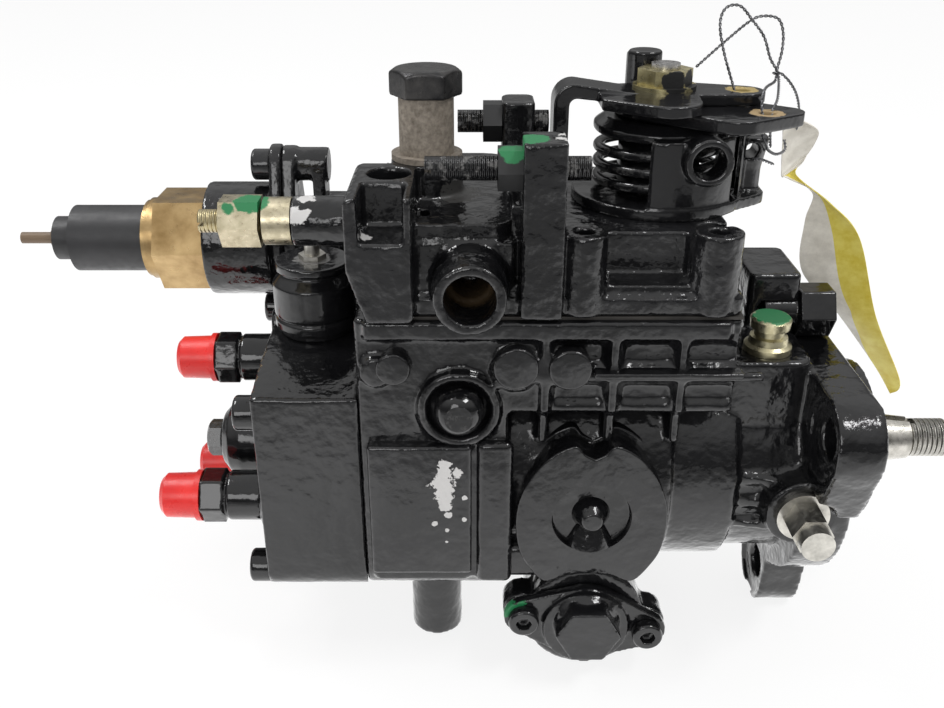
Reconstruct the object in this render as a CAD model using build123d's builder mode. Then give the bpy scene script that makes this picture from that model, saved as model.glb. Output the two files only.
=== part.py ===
from build123d import *
from math import acos, asin, cos, degrees, pi, radians, sin, sqrt, tan
import os

# A rotary distributor diesel injection pump, in millimetres.
# +X runs along the drive shaft towards the drive end, +Y to the far side and +Z up.
# The origin is on the shaft axis at the flange's mounting face.

# ---------------------------------------------------------------- driving dimensions

# Mounting end
pilot_radius = 25.0
pilot_length = 12.0
pilot_groove_depth = 1.6
seal_ring_radius = 25.15
flange_thickness = 13.0
flange_disc_radius = 40.0
bolt_circle_radius = 48.0
bolt_hole_radius = 5.25
lug_radius = 12.5
spotface_radius = 11.0
spotface_depth = 1.5
rest_height = -59.0

# Housing casting
neck_radius = 33.0
neck_length = 19.0
barrel_radius = 35.5
body_radius = 37.6
half_width = 38.0
wall = 5.0
body_front_x = -51.0
pad_front_x = -97.0
head_joint_x = -137.5
chamber_front_x = -48.0
chamber_radius = 31.0
deck_height = 57.5
deck_front_x = -37.0
body_floor = -31.0
upper_wall_floor = 30.0
opening_half_width = 20.5
rib_height = 41.6
rib_proud = 2.6
pad_proud = 1.2

# Drive shaft
shaft_radius = 10.0
taper_large_radius = 8.5
taper_small_radius = 6.6
taper_end_x = 29.5
thread_radius = 6.0
thread_start_x = 30.3
thread_end_x = 42.2
key_slot_width = 3.0
running_gap = 0.03

# Feed pump
feed_pump_radius = 28.5
feed_pump_rear_x = -46.0
feed_ring_front_x = -25.0
feed_ring_length = 16.2
feed_ring_bore = 22.5
feed_ring_offset = 2.0
rotor_radius = 19.5
vane_reach = 20.3
vane_thickness = 2.2
end_gap = 0.2

# Governor
gear_module = 1.75
drive_gear_teeth = 30
governor_gear_teeth = 20
gear_width = 6.0
gear_front_x = -50.0
pressure_angle = 20.0
tooth_backlash = 0.25
governor_shaft_radius = 4.0
cage_radius = 15.0
cage_length = 20.0
sleeve_radius = 5.6
sleeve_travel = 2.2
lever_pivot_x = -110.3
lever_pivot_z = 31.9
lever_ball_z = 10.3
lever_top_z = 70.0
governor_spring_z = 67.5
governor_spring_radius = 3.0

# Injection parts
roller_ring_radius = 27.0
roller_ring_bore = 13.5
roller_ring_front_x = -66.0
roller_ring_length = 12.0
roller_radius = 4.5
roller_length = 8.5
cam_lift = 2.2
cam_plate_radius = 24.4
cam_plate_thickness = 6.0
plunger_radius = 5.0
plunger_end_x = -158.0
spool_radius = 11.0
spool_length = 11.4
barrel_radius_rear = 12.5
barrel_length_rear = 15.0
plunger_spring_y = 20.0

# Timing device
timing_x = -73.3
timing_z = -40.0
timing_bore_radius = 12.0
timing_housing_radius = 17.5
timing_screw_reach = 18.5
timing_screw_tilt = 8.0
timing_piston_length = 38.0
timing_piston_near = -23.0
timing_travel = 6.0

# Distributor head
head_length = 29.0
head_half_width = 38.0
head_floor = -31.0
head_shoulder = 34.0
head_ridge = 38.5
solenoid_seat = 38.0
outlet_circle = 25.5
outlet_angles = (191.0, 71.0, 311.0)
holder_radius = 6.4
head_screw_y = 30.6
head_screw_z = 26.0

# Stop solenoid
solenoid_x = -153.0
solenoid_radius = 12.0
solenoid_height = 22.0
stop_travel = 1.8

# Governor cover
gasket_thickness = 0.8
cover_rear_x = -134.5
roof_height = 77.5
rear_roof_height = 82.0
cover_hollow_half = 22.0
cover_flange_height = 5.0
boss_radius = 6.2
port_x = -107.3
port_z = 67.5
port_radius = 9.1
port_bore_radius = 6.4
overflow_x = -119.0
overflow_y = -5.0
overflow_boss_radius = 9.8
overflow_boss_top = 91.2
sleeve_outer_radius = 7.4
overflow_sleeve_height = 15.3

# Throttle
throttle_x = -54.5
throttle_y = 4.0
throttle_shaft_radius = 5.0
bracket_foot_radius = 24.0
bracket_foot_height = 3.0
spring_mean_radius = 16.8
spring_wire_radius = 1.9
spring_turns = 4.5
collar_radius = 18.6
collar_floor = 96.4
stop_tab_x = -86.0
shield_radius = 21.6
lever_height = 105.0
lever_thickness = 3.0
upper_stop_y = -1.0
upper_stop_z = 100.0
lower_stop_y = -32.0
lower_stop_z = 95.5
stop_screw_radius = 3.0

# Full-load screw
full_load_y = -25.0
full_load_z = 79.7

# Cold-start unit
wax_y = 45.0
wax_z = 50.5
wax_flange_x = -165.0
wax_housing_radius = 18.6
wax_nut_flats = 29.5
wax_cap_radius = 10.9
wax_cap_end_x = -244.5

cap_screw_radius = 3.0
cap_screw_head_radius = 5.0
cap_screw_head_height = 6.0

# ---------------------------------------------------------------- derived places

flange_back_x = -flange_thickness
neck_end_x = flange_back_x - neck_length
inner_half_width = half_width - wall
head_rear_x = head_joint_x - head_length
gear_centres = gear_module * (drive_gear_teeth + governor_gear_teeth) / 2
gear_rear_x = gear_front_x - gear_width
cover_floor = deck_height + gasket_thickness
bracket_floor = roof_height
spring_floor = bracket_floor + bracket_foot_height
cam_face_x = roller_ring_front_x - roller_ring_length - 1.0 - 0.3
cam_plate_front_x = cam_face_x - cam_lift
cam_plate_rear_x = cam_plate_front_x - cam_plate_thickness
spool_x = lever_pivot_x
lever_face_x = lever_pivot_x + 1.9
sleeve_tip_x = lever_face_x + 0.4
cover_screw_places = ((-128.3, -20.0), (-128.3, 27.8), (-42.6, 27.8), (-42.6, -24.0))
cover_screw_seats = (66.0, 66.0, 66.0, 66.0)
head_screw_places = [(y, z) for y in (-head_screw_y, head_screw_y) for z in (-head_screw_z, head_screw_z)]
outlet_centres = [(outlet_circle * cos(radians(a)), outlet_circle * sin(radians(a)))
                  for a in outlet_angles]
BASE = (Align.CENTER, Align.CENTER, Align.MIN)

os.makedirs("parts", exist_ok=True)


# ---------------------------------------------------------------- helpers

def along_x(x, y=0.0, z=0.0):
    """Plane facing the drive end: its own x is Y and its own y is Z."""
    return Plane(origin=(x, y, z), x_dir=(0, 1, 0), z_dir=(1, 0, 0))


def along_rear(x, y=0.0, z=0.0):
    """Plane facing the distributor end: its own x is -Y and its own y is Z."""
    return Plane(origin=(x, y, z), x_dir=(0, -1, 0), z_dir=(-1, 0, 0))


def facing_near(y, x=0.0, z=0.0):
    """Plane facing the near side: its own x is X and its own y is Z."""
    return Plane(origin=(x, y, z), x_dir=(1, 0, 0), z_dir=(0, -1, 0))


def facing_far(y, x=0.0, z=0.0):
    """Plane facing the far side: its own x is -X and its own y is Z."""
    return Plane(origin=(x, y, z), x_dir=(-1, 0, 0), z_dir=(0, 1, 0))


def upward(z, x=0.0, y=0.0):
    """Plane facing up: its own x is X and its own y is Y."""
    return Plane(origin=(x, y, z), x_dir=(1, 0, 0), z_dir=(0, 0, 1))


def downward(z, x=0.0, y=0.0):
    """Plane facing down: its own x is X and its own y is -Y."""
    return Plane(origin=(x, y, z), x_dir=(1, 0, 0), z_dir=(0, 0, -1))


def rod(plane, radius, length, mode=Mode.ADD):
    """Round rod that starts on the plane and runs along its normal."""
    with Locations(plane):
        Cylinder(radius, length, align=BASE, mode=mode)


def block(low, high, mode=Mode.ADD):
    """Box between two corners."""
    with Locations(Location(low)):
        Box(high[0] - low[0], high[1] - low[1], high[2] - low[2],
            align=(Align.MIN, Align.MIN, Align.MIN), mode=mode)


def prism(plane, flats, length, mode=Mode.ADD):
    """Hexagonal prism, given across its flats."""
    with BuildSketch(plane) as outline:
        RegularPolygon(flats / 2, 6, major_radius=False)
    extrude(outline.sketch, amount=length, mode=mode)


def rounded_block(plane, width, height, corner, depth, centre=(0.0, 0.0), mode=Mode.ADD):
    """Block with rounded corners that rises from the plane."""
    with BuildSketch(plane) as outline:
        with Locations(centre):
            RectangleRounded(width, height, corner)
    extrude(outline.sketch, amount=depth, mode=mode)


def turned(plane, steps, mode=Mode.ADD):
    """Turned piece about the plane's normal: steps are (height, radius) pairs."""
    profile_plane = Plane(origin=plane.origin, x_dir=plane.x_dir, z_dir=plane.y_dir * -1)
    with BuildSketch(profile_plane) as profile:
        with BuildLine():
            Polyline((0, steps[0][0]), *[(radius, height) for height, radius in steps],
                     (0, steps[-1][0]), close=True)
        make_face()
    revolve(profile.sketch, axis=Axis(plane.origin, plane.z_dir), mode=mode)


def hex_screw(plane, flats, head_height, shank_radius, shank_length):
    """Hexagon head standing on the plane, with its shank behind it and a crowned top."""
    prism(plane, flats, head_height)
    crown = flats / sqrt(3)
    turned(plane, [(0, crown), (head_height * 0.82, crown), (head_height, flats / 2 * 0.93)],
           mode=Mode.INTERSECT)
    back = Plane(origin=plane.origin, x_dir=plane.x_dir, z_dir=plane.z_dir * -1)
    rod(back, shank_radius, shank_length)


def cap_screw(plane, length):
    """Socket-head cap screw whose head stands on the plane."""
    turned(plane, [(0, cap_screw_head_radius), (cap_screw_head_height - 0.6, cap_screw_head_radius),
                   (cap_screw_head_height, cap_screw_head_radius - 0.6)])
    prism(plane.offset(cap_screw_head_height - 3.0), 5.0, 4.0, mode=Mode.SUBTRACT)
    back = Plane(origin=plane.origin, x_dir=plane.x_dir, z_dir=plane.z_dir * -1)
    rod(back, cap_screw_radius, length)


def spring_coil(plane, radius, wire, height, turns, mode=Mode.ADD):
    """Coil spring along the plane's normal: one helix sweep of a six-sided wire section."""
    with BuildPart(mode=Mode.PRIVATE) as coil:
        with BuildLine() as centre_line:
            Helix(pitch=height / turns, height=height, radius=radius)
        with BuildSketch(Plane(origin=centre_line.line @ 0, z_dir=centre_line.line % 0)):
            RegularPolygon(wire, 6)
        sweep(path=centre_line.line, is_frenet=True)
    add(plane.location * coil.part, mode=mode)


def gear_outline(plane, teeth, turn):
    """Involute spur gear sketch, with a tooth centred at the angle turn, in degrees."""
    pitch_radius = gear_module * teeth / 2
    base_radius = pitch_radius * cos(radians(pressure_angle))
    tip_radius = pitch_radius + gear_module
    root_radius = pitch_radius - 1.25 * gear_module

    def involute(angle):
        return tan(angle) - angle

    half_tooth = (pi / 2 - tooth_backlash / gear_module) / teeth + involute(radians(pressure_angle))
    flank_start = max(base_radius, root_radius)
    flank_radii = [flank_start + (tip_radius - flank_start) * step / 3 for step in range(4)]
    flank = [(r, half_tooth - involute(acos(base_radius / r))) for r in flank_radii]
    with BuildSketch(plane) as gear:
        with BuildLine():
            corners = []
            for tooth in range(teeth):
                middle = radians(turn) + 2 * pi * tooth / teeth
                corners.append((root_radius, middle - half_tooth))
                corners += [(r, middle - spread) for r, spread in flank]
                corners += [(r, middle + spread) for r, spread in reversed(flank)]
                corners.append((root_radius, middle + half_tooth))
            Polyline(*[(r * cos(a), r * sin(a)) for r, a in corners], close=True)
        make_face()
    return gear.sketch


def save(builder, name):
    """Label a finished piece and write it."""
    builder.part.label = name
    export_step(builder.part, f"parts/{name}.step")


# ---------------------------------------------------------------- pump housing

lug_angles = (150.0, 30.0, 270.0)
lug_centres = [(bolt_circle_radius * cos(radians(a)), bolt_circle_radius * sin(radians(a)))
               for a in lug_angles]
near_side = -half_width
timing_lugs = [(timing_x - side * timing_screw_reach * cos(radians(timing_screw_tilt)),
                timing_z + side * timing_screw_reach * sin(radians(timing_screw_tilt)))
               for side in (1, -1)]
lock_boss_x = -14.2
lock_bolt_radius = 3.9
lock_boss_z = -1.5
lock_boss_face = -40.0
valve_x = -23.5
valve_y = -18.0
ledge_height = 39.5
inlet_z = 44.0
inlet_boss_top = 56.5
foot_boss_x = -118.0
foot_boss_y = -16.0
foot_boss_radius = 8.0

with BuildPart() as pump_housing:
    # Flange: a disc, a flat top and three bolt lugs
    with BuildSketch(along_x(flange_back_x)) as flange:
        Circle(flange_disc_radius)
        with Locations(*lug_centres):
            Circle(lug_radius)
        make_hull()
        with Locations((0, -flange_disc_radius)):
            Rectangle(4 * flange_disc_radius, 2 * flange_disc_radius, mode=Mode.SUBTRACT)
        Circle(flange_disc_radius)
        with BuildSketch(mode=Mode.PRIVATE) as foot_lug:
            Circle(flange_disc_radius * 0.52)
            with Locations(lug_centres[2]):
                Circle(lug_radius)
            make_hull()
        add(foot_lug.sketch)
        with BuildSketch(mode=Mode.PRIVATE) as side_lugs:
            with Locations(lug_centres[0], lug_centres[1]):
                Circle(lug_radius)
            make_hull()
        add(side_lugs.sketch)
        with Locations((0, bolt_circle_radius / 2 + lug_radius + 10.0)):
            Rectangle(90.0, 20.0, mode=Mode.SUBTRACT)
    extrude(amount=flange_thickness)
    rod(along_x(0), pilot_radius, pilot_length)
    rod(along_x(neck_end_x), neck_radius, neck_length)
    rod(along_x(body_front_x), barrel_radius, neck_end_x - body_front_x)
    rod(along_x(pad_front_x), body_radius, body_front_x - pad_front_x)

    # Squared rear body and the governor chamber's walls above the barrel
    body_width = pad_front_x - head_joint_x
    with BuildSketch(along_x(head_joint_x)) as rear_section:
        with Locations((0, (deck_height + body_floor) / 2)):
            RectangleRounded(2 * half_width, deck_height - body_floor, 9.0)
        with Locations((0, deck_height - 10)):
            Rectangle(2 * half_width, 20)
    extrude(amount=body_width)
    block((pad_front_x - 1, near_side, upper_wall_floor), (deck_front_x, half_width, deck_height))

    # Raised pads and ribs on the near wall, and the same ribs on the far wall
    rounded_block(facing_near(-half_width, -121.0, -2.5), 27.5, 45.0, 1.5, pad_proud)
    rounded_block(facing_near(-half_width, -101.2, -2.0), 11.0, 46.0, 3.0, pad_proud)
    block((-135.0, near_side - 2.2, 52.5), (-40.0, near_side, deck_height))
    block((-92.0, near_side - rib_proud, rib_height - 1.0),
          (neck_end_x + 2, near_side, rib_height + 1.2))
    for rib_x in (-87.5, -69.5, -51.5):
        block((rib_x - 1.2, near_side - 2.0, 31.0), (rib_x + 1.2, near_side, deck_height))
        block((rib_x - 1.2, near_side + 1.0, 20.0), (rib_x + 1.2, near_side + 12.0, 31.0))
    for rib_x in (-87.5, -69.5, -51.5):
        block((rib_x - 1.2, half_width, 31.0), (rib_x + 1.2, half_width + 2.0, deck_height))
    for recess_x in (-78.5, -60.5, -44.0):
        rounded_block(facing_near(near_side + 1.6, recess_x, 47.6), 13.6, 6.6, 1.6, 6.0,
                      mode=Mode.SUBTRACT)
        rounded_block(facing_near(near_side + 1.6, recess_x, 35.8), 13.6, 6.0, 1.6, 6.0,
                      mode=Mode.SUBTRACT)
    rod(facing_near(near_side, -81.6, 43.6), 5.6, 2.4)
    rod(facing_near(near_side, -95.5, 43.6), 6.2, 2.4)
    rod(facing_near(near_side, -138.0 + 6.0, 43.0), 4.4, 2.4)
    rod(facing_near(near_side, lever_pivot_x, lever_pivot_z), 11.2, 2.6)
    rod(facing_far(half_width, lever_pivot_x, lever_pivot_z), 11.2, 2.6)

    # Shield-shaped boss on the near side of the cam chamber
    with BuildSketch(facing_near(-22.0, timing_x, 0)) as shield:
        with Locations((-13.0, 17.5), (13.0, 17.5)):
            Circle(9.3)
        with Locations((-13.4, 1.0), (13.4, 1.0)):
            Circle(8.9)
        with Locations((-8.5, -19.7), (8.5, -19.7)):
            Circle(8.0)
        make_hull()
        with Locations((0, 32.0)):
            Circle(10.0, mode=Mode.SUBTRACT)
        with Locations((0, -36.0)):
            Circle(13.0, mode=Mode.SUBTRACT)
        fillet(shield.vertices(), 1.5)
    extrude(shield.sketch, amount=19.0)
    shield_face = facing_near(-41.0, timing_x, -2.0)
    rod(shield_face.offset(-3.5), 8.3, 4.0, mode=Mode.SUBTRACT)
    turned(shield_face.offset(-3.5), [(0, 4.4), (2.2, 2.2), (2.9, 1.0)])

    # Timing device housing across the bottom
    rod(facing_near(half_width, timing_x, timing_z), timing_housing_radius, 2 * half_width)
    for lug_x, lug_z in timing_lugs:
        rod(facing_near(half_width, lug_x, lug_z), 6.0, 9.0)
        rod(facing_near(-half_width + 9.0, lug_x, lug_z), 6.0, 9.0)
    rod(downward(-24.0, foot_boss_x, foot_boss_y), foot_boss_radius, -24.0 - rest_height)
    rod(downward(-24.0, foot_boss_x - 11.0, foot_boss_y + 2.0), 2.0, 14.0)

    # Ledge for the regulating valve, inlet boss and lock bolt boss
    rounded_block(upward(18.0), 25.0, 24.0, 5.0, ledge_height - 18.0, (-25.0, -15.0))
    rounded_block(upward(20.0), 15.0, 24.0, 2.0, inlet_boss_top - 20.0, (-18.8, 8.0))
    rod(facing_near(-20.0, lock_boss_x, lock_boss_z), 10.2, -20.0 - lock_boss_face)
    for rib_z in (-9.0, -1.5, 6.0):
        with BuildSketch(upward(rib_z - 1.3)) as boss_rib:
            with Locations((-42.0, -30.0)):
                Circle(1.2)
            with Locations((lock_boss_x - 2.0, -33.6)):
                Circle(2.6)
            with Locations((lock_boss_x - 2.0, -24.0)):
                Circle(3.1)
            make_hull()
        extrude(boss_rib.sketch, amount=2.6)

    # Feet are machined flat
    block((-140.0, -60.0, rest_height - 20.0), (5.0, 60.0, rest_height), mode=Mode.SUBTRACT)

    # Lock bolt bore, flange holes, pilot groove and shaft bores
    rod(facing_near(lock_boss_face, lock_boss_x, lock_boss_z), 8.4, 20.0, mode=Mode.SUBTRACT)
    rod(facing_near(-shaft_radius, lock_boss_x, lock_boss_z), lock_bolt_radius, 40.0,
        mode=Mode.SUBTRACT)
    for hole_y, hole_z in lug_centres:
        rod(along_x(flange_back_x, hole_y, hole_z), bolt_hole_radius, flange_thickness,
            mode=Mode.SUBTRACT)
        rod(along_x(flange_back_x - 4.0, hole_y, hole_z), spotface_radius, 4.0 + spotface_depth,
            mode=Mode.SUBTRACT)
    with BuildSketch(along_x(5.5)) as groove:
        Circle(pilot_radius + 1)
        Circle(pilot_radius - pilot_groove_depth, mode=Mode.SUBTRACT)
    extrude(groove.sketch, amount=3.0, mode=Mode.SUBTRACT)
    rod(along_x(3.0), 15.5, pilot_length, mode=Mode.SUBTRACT)
    rod(along_x(feed_ring_front_x), 13.0, 40.0, mode=Mode.SUBTRACT)
    rod(along_x(chamber_front_x), feed_pump_radius, feed_ring_front_x - chamber_front_x,
        mode=Mode.SUBTRACT)

    # Chambers: gear space, roller ring seat, cam space and governor space
    ring_seat_front_x = roller_ring_front_x + 4.0
    ring_seat_rear_x = roller_ring_front_x - roller_ring_length
    rod(along_x(ring_seat_front_x), chamber_radius, chamber_front_x - ring_seat_front_x,
        mode=Mode.SUBTRACT)
    rod(along_x(ring_seat_rear_x), roller_ring_radius + 0.05, 30.0, mode=Mode.SUBTRACT)
    rod(along_x(head_joint_x), chamber_radius, ring_seat_rear_x - head_joint_x,
        mode=Mode.SUBTRACT)
    chamber_rear_x = head_joint_x + wall
    block((chamber_rear_x, -inner_half_width, 28.2),
          (pad_front_x - 2.0, inner_half_width, deck_height), mode=Mode.SUBTRACT)
    block((pad_front_x - 3.0, -opening_half_width, 28.2),
          (chamber_front_x, opening_half_width, deck_height), mode=Mode.SUBTRACT)
    block((pad_front_x - 3.0, -inner_half_width, 34.0),
          (chamber_front_x, inner_half_width, deck_height), mode=Mode.SUBTRACT)
    block((chamber_rear_x, -chamber_radius + 4, 0),
          (pad_front_x - 2.0, chamber_radius - 4, 30), mode=Mode.SUBTRACT)
    block((pad_front_x - 3.0, -opening_half_width, 0),
          (cam_plate_rear_x + 4, opening_half_width, 28.5), mode=Mode.SUBTRACT)
    block((ring_seat_front_x, -opening_half_width, 0),
          (chamber_front_x, opening_half_width, 28.5), mode=Mode.SUBTRACT)
    rod(along_rear(deck_front_x - 2.0, 0, gear_centres), governor_shaft_radius, 12.0,
        mode=Mode.SUBTRACT)

    # Tapped bosses for the cover screws and tapped holes for the head screws
    for screw_x, screw_y in cover_screw_places[:2]:
        rod(upward(40.0, screw_x, screw_y), 6.0, deck_height - 40.0)
    for screw_x, screw_y in cover_screw_places:
        rod(upward(deck_height - 12.0, screw_x, screw_y), cap_screw_radius + 0.05, 12.0,
            mode=Mode.SUBTRACT)
    for screw_y, screw_z in head_screw_places:
        rod(along_x(head_joint_x, screw_y, screw_z), cap_screw_radius + 0.05, 7.0,
            mode=Mode.SUBTRACT)

    # Timing bore, its slot for the ring pin, and the cover screw holes
    rod(facing_near(half_width, timing_x, timing_z), timing_bore_radius, 2 * half_width,
        mode=Mode.SUBTRACT)
    block((timing_x - 4.2, -8.0, timing_z), (timing_x + 4.2, 14.0, -20.0), mode=Mode.SUBTRACT)
    for lug_x, lug_z in timing_lugs:
        for end_plane in (facing_near(-half_width, lug_x, lug_z),
                          facing_far(half_width, lug_x, lug_z)):
            rod(end_plane.offset(-8.5), 2.5, 8.5, mode=Mode.SUBTRACT)

    # Bores for the pivot bolts, valve and inlet union
    for pivot_plane in (facing_near(near_side - 2.6, lever_pivot_x, lever_pivot_z),
                        facing_far(half_width + 2.6, lever_pivot_x, lever_pivot_z)):
        rod(pivot_plane.offset(-3.6), 8.6, 4.0, mode=Mode.SUBTRACT)
        rod(pivot_plane.offset(-15.0), 5.0, 15.0, mode=Mode.SUBTRACT)
    rod(upward(29.5, valve_x, valve_y), 5.6, 12.0, mode=Mode.SUBTRACT)
    rod(along_rear(-11.3, 0, inlet_z), 5.0, 12.0, mode=Mode.SUBTRACT)
save(pump_housing, "pump_housing")



# ---------------------------------------------------------------- shaft bearing and seals

with BuildPart() as front_bush:
    rod(along_x(-22.0), 13.0, 25.0)
    rod(along_x(-22.0), shaft_radius + running_gap, 25.0, mode=Mode.SUBTRACT)
save(front_bush, "front_bush")

with BuildPart() as front_seals:
    turned(along_x(6.0), [(0, 24.4), (0.6, seal_ring_radius), (1.4, seal_ring_radius), (2.0, 24.4)])
    rod(along_x(5.0), 23.5, 4.0, mode=Mode.SUBTRACT)
    turned(along_x(3.2), [(0, 15.4), (6.8, 15.4)])
    turned(along_x(3.2), [(0, 12.8), (5.2, 10.15), (6.0, 12.6), (6.8, 13.2)], mode=Mode.SUBTRACT)
save(front_seals, "front_seals")

# ---------------------------------------------------------------- distributor head

with BuildPart() as distributor_head:
    with BuildSketch(along_x(head_rear_x)) as head_section:
        with BuildLine():
            Polyline((-head_half_width, head_floor), (-head_half_width, head_shoulder),
                     (-20.0, 37.0), (0.0, head_ridge), (20.0, 37.0),
                     (head_half_width, head_shoulder), (head_half_width, head_floor), close=True)
        make_face()
        fillet(head_section.vertices().sort_by(Axis.Z)[:2], 8.0)
    extrude(amount=head_length)
    rod(along_x(head_joint_x), chamber_radius - 0.1, 3.0)
    rod(along_x(head_joint_x), barrel_radius_rear, barrel_length_rear)
    rod(along_rear(head_rear_x), 14.0, 1.5)
    for outlet_y, outlet_z in outlet_centres:
        rod(along_rear(head_rear_x, outlet_y, outlet_z), 9.0, 1.5)

    # Plunger bore, plug seat, outlet seats and the radial passages to them
    rod(along_x(-162.0), plunger_radius + running_gap, 50.0, mode=Mode.SUBTRACT)
    rod(along_x(head_rear_x - 2.0), 8.0, 7.0, mode=Mode.SUBTRACT)
    for angle, (outlet_y, outlet_z) in zip(outlet_angles, outlet_centres):
        rod(along_rear(-158.2, outlet_y, outlet_z), holder_radius, 12.0, mode=Mode.SUBTRACT)
        outward = Plane(origin=(-157.4, 0, 0), x_dir=(1, 0, 0),
                        z_dir=(0, cos(radians(angle)), sin(radians(angle))))
        rod(outward, 1.2, outlet_circle, mode=Mode.SUBTRACT)

    # Stop solenoid bore, its fuel passage and the screw holes
    rod(upward(solenoid_seat, solenoid_x, 0), 13.0, 5.0, mode=Mode.SUBTRACT)
    rod(upward(31.0, solenoid_x, 0), 6.0, 10.0, mode=Mode.SUBTRACT)
    rod(upward(14.0, solenoid_x, 0), 4.0, 20.0, mode=Mode.SUBTRACT)
    rod(upward(2.0, solenoid_x, 0), 1.5, 14.0, mode=Mode.SUBTRACT)
    for screw_y, screw_z in head_screw_places:
        rod(along_x(head_rear_x, screw_y, screw_z), cap_screw_radius + 0.2, head_length,
            mode=Mode.SUBTRACT)
save(distributor_head, "distributor_head")

with BuildPart() as head_plug:
    plug_seat_x = head_rear_x - 1.5
    turned(along_rear(plug_seat_x), [(-6.0, 7.95), (0, 7.95), (0, 12.0), (10.0, 12.0), (13.6, 11.0),
                                     (15.8, 8.6), (16.9, 6.0)])
    rod(along_rear(plug_seat_x + 6.0), 4.0, 30.0, mode=Mode.SUBTRACT)
save(head_plug, "head_plug")

with BuildPart() as vent_bolt:
    hex_screw(along_rear(plug_seat_x - 16.9), 10.0, 4.4, 3.95, 20.0)
save(vent_bolt, "vent_bolt")

with BuildPart() as valve_holders:
    for outlet_y, outlet_z in outlet_centres:
        holder_plane = along_rear(plug_seat_x, outlet_y, outlet_z)
        turned(holder_plane, [(-9.0, holder_radius - 0.05), (0, holder_radius - 0.05), (0, 7.4),
                              (9.6, 7.4), (10.4, 6.4), (11.0, 6.4)])
        prism(holder_plane.offset(11.0), 14.0, 6.8)
        rod(holder_plane.offset(17.8), 5.4, 8.0)
        rod(holder_plane.offset(-9.0), 3.2, 26.0, mode=Mode.SUBTRACT)
        rod(holder_plane.offset(10.0), 1.5, 20.0, mode=Mode.SUBTRACT)
save(valve_holders, "valve_holders")

for number, (outlet_y, outlet_z) in enumerate(outlet_centres, start=1):
    with BuildPart() as delivery_valve:
        turned(along_rear(plug_seat_x + 8.9, outlet_y, outlet_z),
               [(0, 2.2), (1.0, 3.1), (4.0, 3.1), (4.6, 1.4), (8.0, 1.4)])
    save(delivery_valve, f"delivery_valve_{number}")

with BuildPart() as delivery_springs:
    for outlet_y, outlet_z in outlet_centres:
        spring_coil(along_rear(plug_seat_x + 4.0, outlet_y, outlet_z), 2.35, 0.45, 20.0, 4)
save(delivery_springs, "delivery_springs")

with BuildPart() as holder_caps:
    for outlet_y, outlet_z in outlet_centres:
        cap_plane = along_rear(plug_seat_x - 17.8, outlet_y, outlet_z)
        turned(cap_plane, [(0, 7.6), (1.6, 7.6), (1.6, 6.8), (10.6, 6.5), (11.9, 5.2)])
        rod(cap_plane, 5.45, 9.0, mode=Mode.SUBTRACT)
save(holder_caps, "holder_caps")

# ---------------------------------------------------------------- stop solenoid

with BuildPart() as stop_solenoid:
    turned(upward(solenoid_seat, solenoid_x, 0),
           [(-6.8, 5.95), (0, 5.95), (0, 10.6), (2.0, 10.6), (2.0, solenoid_radius),
            (5.0, solenoid_radius), (5.0, 11.3), (6.2, 11.3), (6.2, solenoid_radius),
            (15.6, solenoid_radius), (18.6, 9.6), (19.6, 9.6), (19.6, 10.8), (22.0, 10.8)])
    rod(upward(solenoid_seat - 6.8, solenoid_x, 0), 4.0, 18.0, mode=Mode.SUBTRACT)
save(stop_solenoid, "stop_solenoid")

with BuildPart() as solenoid_plunger:
    turned(upward(14.15, solenoid_x, 0), [(0, 2.4), (1.6, 3.94), (32.0, 3.94)])
save(solenoid_plunger, "solenoid_plunger")

with BuildPart() as terminal_studs:
    prism(upward(solenoid_seat + 22.0, solenoid_x, 0), 7.0, 1.6)
    rod(upward(solenoid_seat + 22.0, solenoid_x, 0), 2.2, 4.6)
    rod(along_rear(wax_cap_end_x, wax_y, wax_z), 1.9, 12.5)
    rod(along_rear(wax_cap_end_x, wax_y, wax_z), 3.2, 2.0)
save(terminal_studs, "terminal_studs")

# ---------------------------------------------------------------- governor cover

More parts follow.
